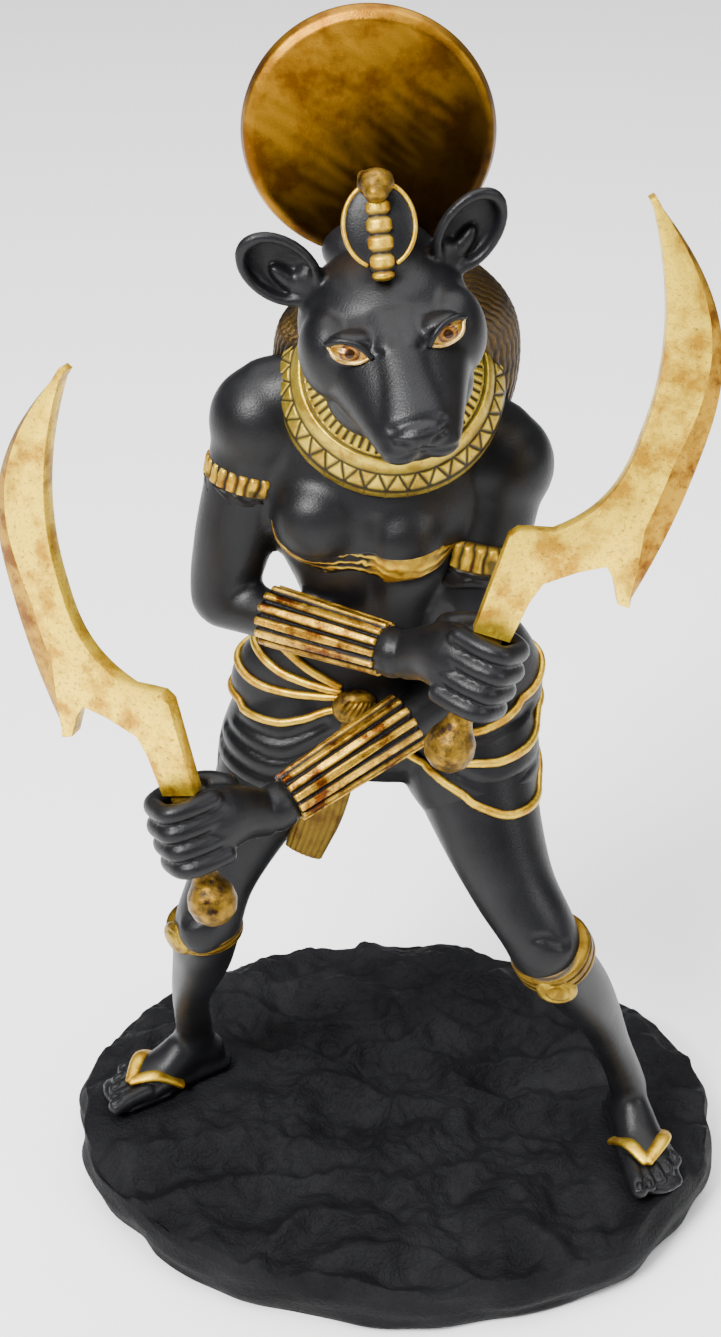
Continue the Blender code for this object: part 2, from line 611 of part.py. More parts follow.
def cutter_of(name, shape):
    made = object_of(name, shape, bpy.data.materials["black paint"])
    made.hide_render = True
    made.display_type = "WIRE"
    return made


def fist_bore(side):
    """Cuts the round hole that the grip passes through."""
    shape = bmesh.new()
    place = world(FIST[side]) @ sword_turn(side).to_4x4()
    bmesh.ops.create_cone(shape, cap_ends=True, segments=24, radius1=GRIP_RADIUS + GRIP_GAP,
                          radius2=GRIP_RADIUS + GRIP_GAP, depth=24 * UNIT, matrix=place)
    return cutter_of(f"bore_{side}", shape)


def sole_cut():
    """Makes both soles flat and level."""
    shape = bmesh.new()
    place = Matrix.Translation((0, 0, SOLE_LEVEL - 0.02)) @ Matrix.Diagonal((0.3, 0.3, 0.04, 1.0))
    bmesh.ops.create_cube(shape, size=1.0, matrix=place)
    return cutter_of("sole_cut", shape)


def world(point):
    return Matrix.Translation(point * UNIT + Vector((0, 0, SOLE_LEVEL)))


# Sword outline, in shares of its reach.
BELLY, BELLY_LEVEL = 0.266, 0.520
HOLLOW, HOLLOW_LEVEL = 0.141, 0.580
SPUR = (0.240, 0.226)
NECK_TOP, NECK_BOTTOM = 0.310, 0.262
GRIP_HALF = 0.115  # half the length of the round grip
TANG_HALF = 0.038  # half the width of the flat stem above the fist


def khopesh_outline():
    """The flat of the sickle sword, anticlockwise: the cutting edge upwards, then the back edge."""
    points = [(-TANG_HALF, GRIP_HALF), (TANG_HALF + 0.004, GRIP_HALF), (0.047, 0.170), (0.060, 0.217),
              (0.118, 0.262), (0.168, 0.290), (0.190, 0.268), (0.216, 0.222), (SPUR[0], SPUR[1] - 0.004)]
    for i in range(8):
        level = 0.240 + (BELLY_LEVEL - 0.240) * i / 8
        points.append((BELLY - (BELLY - SPUR[0]) * (1 - i / 8) ** 2, level))
    for i in range(14):
        share = i / 14
        points.append((BELLY * (1 - share ** 3), BELLY_LEVEL + (0.996 - BELLY_LEVEL) * share))
    points.append((0.003, 1.0))
    points.append((-0.006, 0.990))
    for i in range(1, 14):
        share = 1 - i / 14
        points.append((HOLLOW * (1 - share ** 2), HOLLOW_LEVEL + (0.990 - HOLLOW_LEVEL) * share))
    for i in range(9):
        share = i / 8
        points.append((HOLLOW - 0.096 * share ** 3.2, HOLLOW_LEVEL - (HOLLOW_LEVEL - 0.326) * share))
    points += [(0.005, 0.316), (-0.022, 0.308), (-0.036, 0.290)]
    return points


def khopesh(side, paint):
    """Grip, pommel and flat blade in one. The left one is the mirror image."""
    flip = 1 if side == "right" else -1
    shape = bmesh.new()
    outline = [(x * SWORD_REACH, z * SWORD_REACH) for x, z in khopesh_outline()]
    rim = [shape.verts.new((x, -0.5 * BLADE_THICKNESS, z)) for x, z in outline]
    flat = shape.faces.new(rim)
    made = bmesh.ops.extrude_face_region(shape, geom=[flat])
    bmesh.ops.translate(shape, verts=[v for v in made["geom"] if isinstance(v, bmesh.types.BMVert)],
                        vec=(0, BLADE_THICKNESS, 0))
    bmesh.ops.triangulate(shape, faces=[f for f in shape.faces if len(f.verts) > 4])
    if flip < 0:
        bmesh.ops.scale(shape, vec=(-1, 1, 1), verts=shape.verts)
    blade = object_of(f"khopesh_{side}", shape, paint)
    handle = bmesh.new()
    half = GRIP_HALF * SWORD_REACH
    turned = [(GRIP_RADIUS, half + 0.0016), (GRIP_RADIUS, -half), (0.62 * POMMEL_RADIUS, -half - 0.0012),
              (0.93 * POMMEL_RADIUS, -half - 0.0030), (POMMEL_RADIUS, -half - 0.0048),
              (0.88 * POMMEL_RADIUS, -half - 0.0066), (0.55 * POMMEL_RADIUS, -half - 0.0078)]
    line = [handle.verts.new((0, 0, turned[0][1]))] + [handle.verts.new((r, 0, z)) for r, z in turned]
    line.append(handle.verts.new((0, 0, -half - 0.0082)))
    edges = [handle.edges.new(pair) for pair in zip(line, line[1:])]
    bmesh.ops.spin(handle, geom=line + edges, cent=(0, 0, 0), axis=(0, 0, 1), angle=2 * math.pi, steps=18,
                   use_merge=True)
    bmesh.ops.remove_doubles(handle, verts=handle.verts, dist=1e-6)
    grip = cutter_of(f"handle_{side}", handle)
    join = blade.modifiers.new("handle", "BOOLEAN")
    join.operation = "UNION"
    join.object = grip
    place = world(FIST[side]) @ sword_turn(side).to_4x4()
    blade.matrix_world = place
    grip.matrix_world = place
    return blade


def rock_edge(angle):
    """How far the rock's rim strays from an oval, as a share of its reach."""
    round_trip = Vector((math.cos(angle), math.sin(angle), 0))
    return 0.030 * noise.noise(2.2 * round_trip + Vector((0, 0, 4))) + 0.014 * noise.noise(6 * round_trip)


def foot_seats():
    """The middle, direction, half length and half width of each level seat."""
    return [(Vector((ANKLE[s].x, ANKLE[s].y, 0)) * UNIT + 6.5 * UNIT * toes_ahead(s), toes_ahead(s),
             15.0 * UNIT, 7.2 * UNIT) for s in SIDES]


def rock_reach():
    """The rock's extent, from how far the feet reach and the margins round them."""
    ends = [(ANKLE[s] + reach * toes_ahead(s)) * UNIT for s in SIDES for reach in (-6.0, 19.0)]
    xs, ys = [p.x for p in ends], [p.y for p in ends]
    wide = FOOT_HALF_WIDTH * UNIT
    return (min(xs) - ROCK_MARGIN_RIGHT, max(xs) + wide + ROCK_MARGIN_LEFT,
            min(ys) - ROCK_MARGIN_FRONT, max(ys) + ROCK_MARGIN_BACK)


def rock_height(x, y, share):
    """The level of the rock's top, flat where the feet stand."""
    p = Vector((x, y, 0)) / UNIT
    bumps = 1.4 * noise.noise(p * 0.055) + 0.8 * noise.noise(p * 0.13 + Vector((7, 3, 1)))
    level = ROCK_HEIGHT + (bumps - 0.5) * UNIT - 0.012 * max(0.0, share - 0.86)
    for middle, ahead, long, wide in foot_seats():
        away = Vector((x, y, 0)) - middle
        far = math.hypot(away.dot(ahead) / long, away.cross(ahead).z / wide)
        blend = min(1.0, max(0.0, (far - 1.0) / 0.45))
        level = ROCK_HEIGHT * (1 - blend) + min(level, ROCK_HEIGHT + 0.0006) * blend
    return level


def rock(paint):
    """An oval slab of rough rock with a level underside and a seat under each foot."""
    shape = bmesh.new()
    low_x, high_x, low_y, high_y = rock_reach()
    centre = Vector(((low_x + high_x) / 2, (low_y + high_y) / 2, 0))
    half_x, half_y = (high_x - low_x) / 2, (high_y - low_y) / 2
    around, rings = 52, 10

    def rim(angle, share):
        reach = share * (1 + rock_edge(angle))
        across = half_x * math.cos(angle) - ROCK_SKEW * math.sin(angle)
        return centre + Vector((across * reach, half_y * math.sin(angle) * reach, 0))

    loops = []
    for i in range(1, rings + 1):
        share = 0.985 * (i / rings) ** 0.85
        points = [rim(2 * math.pi * k / around, share) for k in range(around)]
        loops.append([shape.verts.new((p.x, p.y, rock_height(p.x, p.y, share))) for p in points])
    for share, level in ((1.0, 0.70), (1.005, 0.40), (0.985, 0.14), (0.960, 0.0)):
        loop = []
        for k in range(around):
            angle = 2 * math.pi * k / around
            lump = 0.10 * noise.noise(Vector((7 * math.cos(angle), 7 * math.sin(angle), 9 * level)))
            p = rim(angle, share + 0.25 * lump)
            loop.append(shape.verts.new((p.x, p.y, ROCK_HEIGHT * (level + lump if level else 0.0))))
        loops.append(loop)
    top = shape.verts.new((centre.x, centre.y, rock_height(centre.x, centre.y, 0)))
    for k in range(around):
        shape.faces.new((top, loops[0][k - 1], loops[0][k]))
    for first, second in zip(loops, loops[1:]):
        for k in range(around):
            shape.faces.new((first[k], first[k - 1], second[k - 1], second[k]))
    shape.faces.new(loops[-1])
    return object_of("rock_base", shape, paint)


SOLE_LEVEL = ROCK_HEIGHT + SEAT_GAP


def main():
    for old in list(bpy.data.objects):
        bpy.data.objects.remove(old)
    black = material("black paint", (0.012, 0.012, 0.014), 0.4, 0.0)
    stone = material("matt black paint", (0.02, 0.02, 0.02), 0.8, 0.0)
    gold = material("gold paint", (0.75, 0.52, 0.16), 0.35, 0.9)
    rock(stone)
    figure(black)
    for side in SIDES:
        khopesh(side, gold)


main()
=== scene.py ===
import math

import bpy
import numpy as np
from mathutils import Matrix, Vector, noise
from mathutils.bvhtree import BVHTree
from mathutils.kdtree import KDTree


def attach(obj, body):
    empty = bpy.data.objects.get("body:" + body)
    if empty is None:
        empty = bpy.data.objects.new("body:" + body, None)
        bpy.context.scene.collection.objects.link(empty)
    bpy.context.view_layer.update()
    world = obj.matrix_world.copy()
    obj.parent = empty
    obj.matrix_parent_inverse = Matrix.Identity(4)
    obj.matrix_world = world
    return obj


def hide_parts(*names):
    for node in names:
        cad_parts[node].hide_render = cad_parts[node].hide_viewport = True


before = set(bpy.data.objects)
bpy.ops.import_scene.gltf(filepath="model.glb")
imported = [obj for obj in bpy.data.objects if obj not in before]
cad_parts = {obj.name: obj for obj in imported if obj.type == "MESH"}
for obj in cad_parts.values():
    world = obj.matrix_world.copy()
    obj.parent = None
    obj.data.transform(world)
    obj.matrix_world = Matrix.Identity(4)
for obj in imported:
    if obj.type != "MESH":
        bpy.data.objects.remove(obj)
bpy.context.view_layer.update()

# A painted casting of a lioness-headed goddess with a sickle sword in each fist.
# Everything is modelled in millimetres on her own floor, and finished pieces are brought
# to metres on top of the rock. She faces -Y.
millimetre = 0.001
soleLevel = 0.013
sides = ("Right", "Left")


def onSide(right, left):
    return {"Right": right, "Left": left}


# ---- hand tools

def pick(*objects):
    bpy.ops.object.select_all(action="DESELECT")
    for obj in objects:
        obj.select_set(True)
    bpy.context.view_layer.objects.active = objects[0]


def modify(obj, kind, **settings):
    modifier = obj.modifiers.new(kind.lower(), kind)
    for name, value in settings.items():
        setattr(modifier, name, value)
    pick(obj)
    bpy.ops.object.modifier_apply(modifier=modifier.name)
    return obj


def join(parts):
    pick(*parts)
    bpy.ops.object.join()
    return bpy.context.object


def melt(obj, voxel, rounds):
    # one skin over everything that overlaps, then a softening
    modify(obj, "REMESH", mode="VOXEL", voxel_size=voxel)
    if rounds:
        modify(obj, "SMOOTH", factor=0.5, iterations=rounds)
    return obj


def smoothRows(rows, steps):
    # more rows in between, on a curve through the given ones
    rows = [[Vector(v) if hasattr(v, "__len__") else v for v in row] for row in rows]
    last = len(rows) - 1
    made = []
    for i in range(last):
        around = (rows[max(i - 1, 0)], rows[i], rows[i + 1], rows[min(i + 2, last)])
        for step in range(steps):
            t = step / steps
            made.append([q + 0.5 * t * ((r - p) + t * ((2 * p - 5 * q + 4 * r - s) + t * (3 * (q - r) + s - p)))
                         for p, q, r, s in zip(*around)])
    made.append(rows[last])
    return made


def turnTo(along, ahead):
    # Z along one direction, -Y as near as it goes to another
    z = Vector(along).normalized()
    back = -Vector(ahead)
    y = (back - back.dot(z) * z).normalized()
    return Matrix((y.cross(z), y, z)).transposed()


def grow(rows, side=(1, 0, 0), steps=4, around=24, dome=0.6):
    # a limb: a filled circle, extruded row by row. Rows are (centre, half width, half depth).
    rows = smoothRows(rows, steps)
    rings = []
    for i, (centre, wide, deep, *own) in enumerate(rows):
        z = (rows[min(i + 1, len(rows) - 1)][0] - rows[max(i - 1, 0)][0]).normalized()
        x = Vector(own[0] if own else side)
        x = (x - x.dot(z) * z).normalized()
        rings.append((centre, Matrix((x, z.cross(x), z)).transposed(), wide, deep))
    ends = []
    for (centre, turn, wide, deep), sign in ((rings[0], -1), (rings[-1], 1)):
        ends.append([(centre + sign * dome * min(wide, deep) * math.sin(a) * turn.col[2], turn,
                      wide * math.cos(a), deep * math.cos(a)) for a in (math.radians(30), math.radians(55), math.radians(76))])
    rings = ends[0][::-1] + rings + ends[1]
    centre, turn, wide, deep = rings[0]
    bpy.ops.mesh.primitive_circle_add(vertices=around, radius=1, fill_type="NGON", location=centre,
                                      rotation=turn.to_euler())
    bpy.ops.object.mode_set(mode="EDIT")
    bpy.ops.transform.resize(value=(wide, deep, 1), orient_type="GLOBAL", orient_matrix=turn,
                             orient_matrix_type="GLOBAL", center_override=centre)
    for newCentre, newTurn, newWide, newDeep in rings[1:]:
        bpy.ops.mesh.extrude_region_move(TRANSFORM_OT_translate={"value": newCentre - centre})
        bpy.ops.transform.resize(value=(newWide / wide, newDeep / deep, 1), orient_type="GLOBAL",
                                 orient_matrix=turn, orient_matrix_type="GLOBAL", center_override=newCentre)
        for axis, angle in zip("XYZ", (newTurn @ turn.transposed()).to_euler("XYZ")):
            if abs(angle) > 1e-6:
                bpy.ops.transform.rotate(value=-angle, orient_axis=axis, center_override=newCentre)
        centre, turn, wide, deep = newCentre, newTurn, newWide, newDeep
    bpy.ops.mesh.select_all(action="SELECT")
    bpy.ops.mesh.normals_make_consistent(inside=False)
    bpy.ops.object.mode_set(mode="OBJECT")
    bpy.ops.object.transform_apply(location=True, rotation=True, scale=True)
    return bpy.context.object


def limb(start, end, profile, front, **how):
    # profile rows are (share of the way, half width, half depth, forward)
    along = (end - start).normalized()
    ahead = Vector(front)
    ahead = (ahead - ahead.dot(along) * along).normalized()
    return grow([(start.lerp(end, share) + forward * ahead, wide, deep) for share, wide, deep, forward in profile],
                side=ahead.cross(along), **how)


def ball(centre, radii, turn=None, segments=32):
    bpy.ops.mesh.primitive_uv_sphere_add(segments=segments, ring_count=segments // 2, radius=1, location=centre,
                                         rotation=turn.to_euler() if turn else (0, 0, 0), scale=radii)
    bpy.ops.object.transform_apply(location=True, rotation=True, scale=True)
    return bpy.context.object


def wrap(across, along, spot, closedAcross=False, closedAlong=False, marks=()):
    # a flat grid laid on a shape: spot(u, v) gives each vertex its place and its paint marks
    bpy.ops.mesh.primitive_grid_add(x_subdivisions=across, y_subdivisions=along, size=2)
    obj = bpy.context.object
    values = {name: [] for name in marks}
    for vertex in obj.data.vertices:
        place, *paint = spot(0.5 + 0.5 * vertex.co.x, 0.5 + 0.5 * vertex.co.y)
        vertex.co = place
        for name, value in zip(marks, paint):
            values[name].append(value)
    for name in marks:
        layer = obj.data.attributes.new(name, "FLOAT", "POINT")
        layer.data.foreach_set("value", values[name])
    bpy.ops.object.mode_set(mode="EDIT")
    bpy.ops.mesh.select_all(action="SELECT")
    if closedAcross or closedAlong:
        bpy.ops.mesh.remove_doubles(threshold=1e-4)
    bpy.ops.mesh.normals_make_consistent(inside=False)
    bpy.ops.object.mode_set(mode="OBJECT")
    return obj


def stroke(distance, half):
    # how deep a cut is, from the distance to its middle
    return max(0.0, 1 - (distance / half) ** 2)


def skinOf(*objects):
    points, faces = [], []
    for obj in objects:
        first = len(points)
        points += [v.co for v in obj.data.vertices]
        faces += [[first + i for i in p.vertices] for p in obj.data.polygons]
    return BVHTree.FromPolygons(points, faces)


def layOn(tree, points, steps=8, lift=0.0):
    # a smooth line through the points, laid on a surface
    line = []
    for (point,) in smoothRows([(p,) for p in points], steps):
        spot, normal = tree.find_nearest(point)[:2]
        line.append(spot + lift * normal)
    return line


def carve(obj, lines, wide, deep, tree=None):
    # press a line into the surface, or raise it where deep is negative
    tree = tree or skinOf(obj)
    places = [p for line in lines for p in layOn(tree, line, 40)]
    near = KDTree(len(places))
    for i, p in enumerate(places):
        near.insert(p, i)
    near.balance()
    normals = [v.normal.copy() for v in obj.data.vertices]
    for vertex, normal in zip(obj.data.vertices, normals):
        away = near.find(vertex.co)[2]
        if away < wide:
            vertex.co -= deep * (1 - (away / wide) ** 2) ** 2 * normal


def mirrored(lines):
    return lines + [[(-x, y, z) for x, y, z in line] for line in lines]


def wrapLimb(rows, relief, around, along, side=(1, 0, 0), dome=0.5, marks=("groove",)):
    # a closed limb on a fine grid. relief(u, v) gives how far out each point stands, and its paint
    fine = smoothRows(rows, 12)

    def ring(share):
        place = share * (len(fine) - 1)
        i = min(int(place), len(fine) - 2)
        t = place - i
        centre, wide, deep = (a + t * (b - a) for a, b in zip(fine[i][:3], fine[i + 1][:3]))
        z = (fine[i + 1][0] - fine[i][0]).normalized()
        x = Vector(side)
        x = (x - x.dot(z) * z).normalized()
        return centre, x, z.cross(x), z, wide, deep

    def spot(u, v):
        cap = 0.06
        share = min(1.0, max(0.0, (v - cap) / (1 - 2 * cap)))
        centre, x, y, z, wide, deep = ring(share)
        over = max(0.0, (cap - v) / cap, (v - 1 + cap) / cap)
        bend = over * math.pi / 2
        centre = centre + (-1 if v < 0.5 else 1) * dome * min(wide, deep) * math.sin(bend) * z
        a = 2 * math.pi * u
        lift, paint = relief(u, share)
        shrink = math.cos(bend)
        return centre + shrink * ((wide + lift) * math.cos(a) * x + (deep + lift) * math.sin(a) * y), paint

    return wrap(around, along, spot, closedAcross=True, marks=marks)


def finish(obj, name, paint, smooth=None):
    obj.name = obj.data.name = name
    obj.data.transform(Matrix.Translation((0, 0, soleLevel)) @ Matrix.Scale(millimetre, 4))
    if paint:
        obj.data.materials.clear()
        obj.data.materials.append(paint)
    pick(obj)
    if smooth:
        bpy.ops.object.shade_smooth_by_angle(angle=math.radians(smooth))
    else:
        bpy.ops.object.shade_smooth()
    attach(obj, "root")
    return obj


# ---- pose

legRows = {
    "Right": [((-13.0, -1.5, 88.0), 11.1, 11.6), ((-18.9, -4.6, 77.5), 10.3, 10.6),
              ((-24.5, -8.4, 67.5), 7.5, 8.2), ((-29.0, -11.8, 58.0), 5.6, 6.4),
              ((-31.3, -13.8, 51.5), 5.6, 6.0), ((-32.3, -13.0, 46.5), 5.6, 5.8),
              ((-33.3, -9.8, 40.0), 5.1, 5.7), ((-34.9, -6.4, 33.0), 4.2, 5.0),
              ((-36.2, -2.2, 25.5), 3.5, 4.2), ((-36.7, 2.0, 18.5), 3.3, 3.6),
              ((-36.8, 5.4, 12.5), 3.4, 3.5), ((-36.8, 6.6, 9.0), 3.4, 3.9)],
    "Left": [((8.4, -1.5, 88.0), 11.8, 11.8), ((11.7, -7.4, 77.5), 10.6, 10.8),
             ((14.8, -13.4, 68.5), 8.6, 9.0), ((18.5, -18.4, 60.5), 7.0, 7.4),
             ((22.2, -22.0, 55.0), 6.3, 6.5), ((24.5, -22.8, 50.0), 6.0, 5.9),
             ((27.7, -20.4, 44.5), 5.6, 5.7), ((31.1, -17.4, 38.0), 5.0, 5.4),
             ((34.4, -14.4, 30.5), 4.0, 4.4), ((37.4, -11.8, 22.0), 3.3, 3.5),
             ((40.3, -9.6, 13.5), 3.3, 3.4), ((41.4, -8.8, 9.0), 3.5, 3.9)],
}
pose = {
    "kneecap": onSide(Vector((-32.4, -17.2, 50.5)), Vector((24.0, -26.0, 53.0))),
    "ankle": onSide(Vector((-36.8, 6.6, 9.0)), Vector((41.4, -8.8, 9.0))),
    "footTurn": onSide(-60, 14),
    "shoulder": onSide(Vector((-20.9, -10.5, 138.8)), Vector((14.8, -10.5, 131.8))),
    "elbow": onSide(Vector((-28.0, -11.5, 109.4)), Vector((8.9, -16.0, 96.5))),
    "wrist": onSide(Vector((0.2, -29.5, 109.8)), Vector((-20.6, -32.8, 84.2))),
    "fist": onSide(Vector((10.6, -36.0, 111.2)), Vector((-31.2, -40.0, 86.8))),
    "swordLean": 8,
    "swordTilt": onSide(17.8, -12.4),
    "swordSwing": onSide(0, -23),
    "head": Vector((-2.9, -23.5, 159.5)),
    "headTurn": (20, -9, 8),  # nod, tilt to her left, turn
}


def swordTurn(side):
    # the grip runs along Z and the flat of the blade faces -Y
    tilt, lean = math.radians(pose["swordTilt"][side]), math.radians(pose["swordLean"])
    up = Vector((math.sin(tilt), math.cos(tilt) * math.sin(lean), math.cos(tilt) * math.cos(lean)))
    return turnTo(up, (0, -math.cos(lean), math.sin(lean))) @ Matrix.Rotation(math.radians(pose["swordSwing"][side]), 3, "Z")


def fistFrame(side):
    # along the grip, from wrist to knuckles, and out of the back of the hand
    grip = swordTurn(side) @ Vector((0, 0, 1))
    reach = pose["fist"][side] - pose["elbow"][side]
    knuckles = (reach - reach.dot(grip) * grip).normalized()
    back = grip.cross(knuckles)
    return grip, knuckles, -back if back.y > 0 else back


def footFrame(side):
    turn = math.radians(pose["footTurn"][side])
    ahead = Vector((math.sin(turn), -math.cos(turn), 0))
    big = Vector((-ahead.y, ahead.x, 0)) * (1 if side == "Right" else -1)
    ankle = pose["ankle"][side]
    return Vector((ankle.x, ankle.y, 0)), ahead, big


def headTurn():
    nod, tilt, turn = (math.radians(v) for v in pose["headTurn"])
    return Matrix.Rotation(turn, 3, "Z") @ Matrix.Rotation(tilt, 3, "Y") @ Matrix.Rotation(nod, 3, "X")


# ---- paints

def newPaint(name):
    paint = bpy.data.materials.new(name)
    paint.use_nodes = True
    nodes, links = paint.node_tree.nodes, paint.node_tree.links
    return paint, nodes, links, nodes["Principled BSDF"]


def wearGroup():
    # speckles, streaks and fine grain that every paint shares
    group = bpy.data.node_groups.new("agedPaint", "ShaderNodeTree")
    for name, value in (("Speckle Size", 1.2), ("Speckle Amount", 0.4), ("Streak Size", 0.25), ("Grain Size", 6.0)):
        socket = group.interface.new_socket(name, in_out="INPUT", socket_type="NodeSocketFloat")
        socket.default_value = value
    for name in ("Speckles", "Streaks", "Grain"):
        group.interface.new_socket(name, in_out="OUTPUT", socket_type="NodeSocketFloat")
    nodes, links = group.nodes, group.links
    given, out = nodes.new("NodeGroupInput"), nodes.new("NodeGroupOutput")
    where = nodes.new("ShaderNodeTexCoord")
    toMm = nodes.new("ShaderNodeVectorMath")
    toMm.operation = "SCALE"
    toMm.inputs["Scale"].default_value = 1000
    links.new(where.outputs["Object"], toMm.inputs[0])
    fine, streak, grain = (nodes.new("ShaderNodeTexNoise") for _ in range(3))
    for node, size, detail, rough in ((fine, "Speckle Size", 6, 0.7), (streak, "Streak Size", 4, 0.6),
                                      (grain, "Grain Size", 3, 0.6)):
        links.new(toMm.outputs[0], node.inputs["Vector"])
        links.new(given.outputs[size], node.inputs["Scale"])
        node.inputs["Detail"].default_value = detail
        node.inputs["Roughness"].default_value = rough
    edge = nodes.new("ShaderNodeMapRange")
    edge.inputs["From Max"].default_value = 0.72
    low = nodes.new("ShaderNodeMath")
    low.operation = "SUBTRACT"
    low.inputs[0].default_value = 0.72
    links.new(given.outputs["Speckle Amount"], low.inputs[1])
    links.new(fine.outputs["Fac"], edge.inputs["Value"])
    links.new(low.outputs[0], edge.inputs["From Min"])
    links.new(edge.outputs["Result"], out.inputs["Speckles"])
    links.new(streak.outputs["Fac"], out.inputs["Streaks"])
    links.new(grain.outputs["Fac"], out.inputs["Grain"])
    return group


def placeWear(nodes, **values):
    node = nodes.new("ShaderNodeGroup")
    node.node_tree = agedPaint
    for name, value in values.items():
        node.inputs[name.replace("_", " ").title()].default_value = value
    return node


def ramp(nodes, stops):
    node = nodes.new("ShaderNodeValToRGB")
    while len(node.color_ramp.elements) < len(stops):
        node.color_ramp.elements.new(0.5)
    for element, (position, colour) in zip(node.color_ramp.elements, stops):
        element.position = position
        element.color = (*colour, 1)
    return node


def blendColour(nodes, links, factor, first, second):
    node = nodes.new("ShaderNodeMix")
    node.data_type = "RGBA"
    links.new(factor, node.inputs["Factor"])
    for socket, value in ((node.inputs["A"], first), (node.inputs["B"], second)):
        if isinstance(value, tuple):
            socket.default_value = (*value, 1)
        else:
            links.new(value, socket)
    return node.outputs["Result"]


def readMark(nodes, name):
    node = nodes.new("ShaderNodeAttribute")
    node.attribute_name = name
    return node.outputs["Fac"]


def addBump(nodes, links, shader, height, distance, strength):
    bump = nodes.new("ShaderNodeBump")
    bump.inputs["Distance"].default_value = distance * millimetre
    bump.inputs["Strength"].default_value = strength
    links.new(height, bump.inputs["Height"])
    links.new(bump.outputs["Normal"], shader.inputs["Normal"])


def math2(nodes, links, operation, first, second, clamp=False):
    node = nodes.new("ShaderNodeMath")
    node.operation = operation
    node.use_clamp = clamp
    for socket, value in zip(node.inputs, (first, second)):
        if isinstance(value, (int, float)):
            socket.default_value = value
        else:
            links.new(value, socket)
    return node.outputs[0]


def goldPaint(name, bright, warm, dark, speckle=0.1, marked=False, bump=0.10, speckleSize=1.3, streakSize=0.35,
              metal=0.95, dulled=1.0, polish=0.27):
    paint, nodes, links, shader = newPaint(name)
    wear = placeWear(nodes, speckle_size=speckleSize, speckle_amount=speckle, streak_size=streakSize, grain_size=5.0)
    tone = ramp(nodes, [(0.38, warm), (0.56, bright)])
    links.new(wear.outputs["Streaks"], tone.inputs["Fac"])
    cover = wear.outputs["Speckles"]
    if marked:  # dark paint left in the grooves; on the sun disc this mark carries painted light and shade instead
        cover = math2(nodes, links, "MAXIMUM", cover, readMark(nodes, "groove"))
    links.new(blendColour(nodes, links, cover, tone.outputs["Color"], dark), shader.inputs["Base Color"])
    links.new(math2(nodes, links, "SUBTRACT", metal, math2(nodes, links, "MULTIPLY", cover, metal * dulled)),
              shader.inputs["Metallic"])
    links.new(math2(nodes, links, "ADD", polish, math2(nodes, links, "MULTIPLY", wear.outputs["Grain"], 0.26)),
              shader.inputs["Roughness"])
    shader.inputs["Specular IOR Level"].default_value = 0.15
    addBump(nodes, links, shader, wear.outputs["Grain"], bump, 0.6)
    return paint


def blackPaint(name):
    paint, nodes, links, shader = newPaint(name)
    wear = placeWear(nodes, speckle_size=0.9, speckle_amount=0.05, streak_size=0.12, grain_size=3.5)
    tone = ramp(nodes, [(0.3, (0.003, 0.003, 0.0035)), (0.7, (0.007, 0.007, 0.008))])
    links.new(wear.outputs["Streaks"], tone.inputs["Fac"])
    links.new(tone.outputs["Color"], shader.inputs["Base Color"])
    links.new(math2(nodes, links, "ADD", 0.26, math2(nodes, links, "MULTIPLY", wear.outputs["Grain"], 0.24)),
              shader.inputs["Roughness"])
    shader.inputs["Specular IOR Level"].default_value = 0.18
    addBump(nodes, links, shader, wear.outputs["Grain"], 0.09, 0.55)
    return paint


def stonePaint(name):
    paint, nodes, links, shader = newPaint(name)
    wear = placeWear(nodes, speckle_size=0.6, speckle_amount=0.2, streak_size=0.08, grain_size=1.6)
    tone = ramp(nodes, [(0.35, (0.0015, 0.0015, 0.002)), (0.65, (0.006, 0.006, 0.007))])
    links.new(wear.outputs["Streaks"], tone.inputs["Fac"])
    links.new(tone.outputs["Color"], shader.inputs["Base Color"])
    links.new(math2(nodes, links, "ADD", 0.55, math2(nodes, links, "MULTIPLY", wear.outputs["Grain"], 0.3)),
              shader.inputs["Roughness"])
    shader.inputs["Specular IOR Level"].default_value = 0.11
    addBump(nodes, links, shader, wear.outputs["Grain"], 0.45, 0.9)
    return paint


agedPaint = wearGroup()
black = blackPaint("satin black paint")
stone = stonePaint("matt black rock paint")
gold = goldPaint("rubbed gold paint", (0.62, 0.40, 0.035), (0.40, 0.20, 0.012), (0.030, 0.016, 0.006), speckle=0.08)
markedGold = goldPaint("gold paint, dark grooves", (0.66, 0.42, 0.035), (0.42, 0.20, 0.012), (0.004, 0.003, 0.003),
                       marked=True, speckle=0.12)
cuffGold = goldPaint("cuff gold, dark grooves", (0.72, 0.42, 0.04), (0.12, 0.032, 0.003), (0.003, 0.002, 0.002),
                     marked=True, speckle=0.22, speckleSize=0.8, streakSize=0.22, polish=0.16)
bladeGold = goldPaint("brushed blade gold", (1.0, 0.67, 0.045), (0.50, 0.25, 0.011), (0.04, 0.020, 0.006), speckle=0.19,
                      speckleSize=1.8, streakSize=0.22, metal=0.85, polish=0.22)
# a darker copy of the blade gold for the bevel faces: painted shade, with wear speckles
shadedEdgeGold = goldPaint("cutting edge gold, painted shade and wear", (0.46, 0.25, 0.02), (0.18, 0.065, 0.006), (0.012, 0.007, 0.004), speckle=0.16,
                     speckleSize=1.2, streakSize=0.25)
darkGold = goldPaint("worn gold paint", (0.26, 0.145, 0.014), (0.022, 0.009, 0.002), (0.003, 0.002, 0.002), speckle=0.30,
                     speckleSize=0.9, streakSize=0.3)
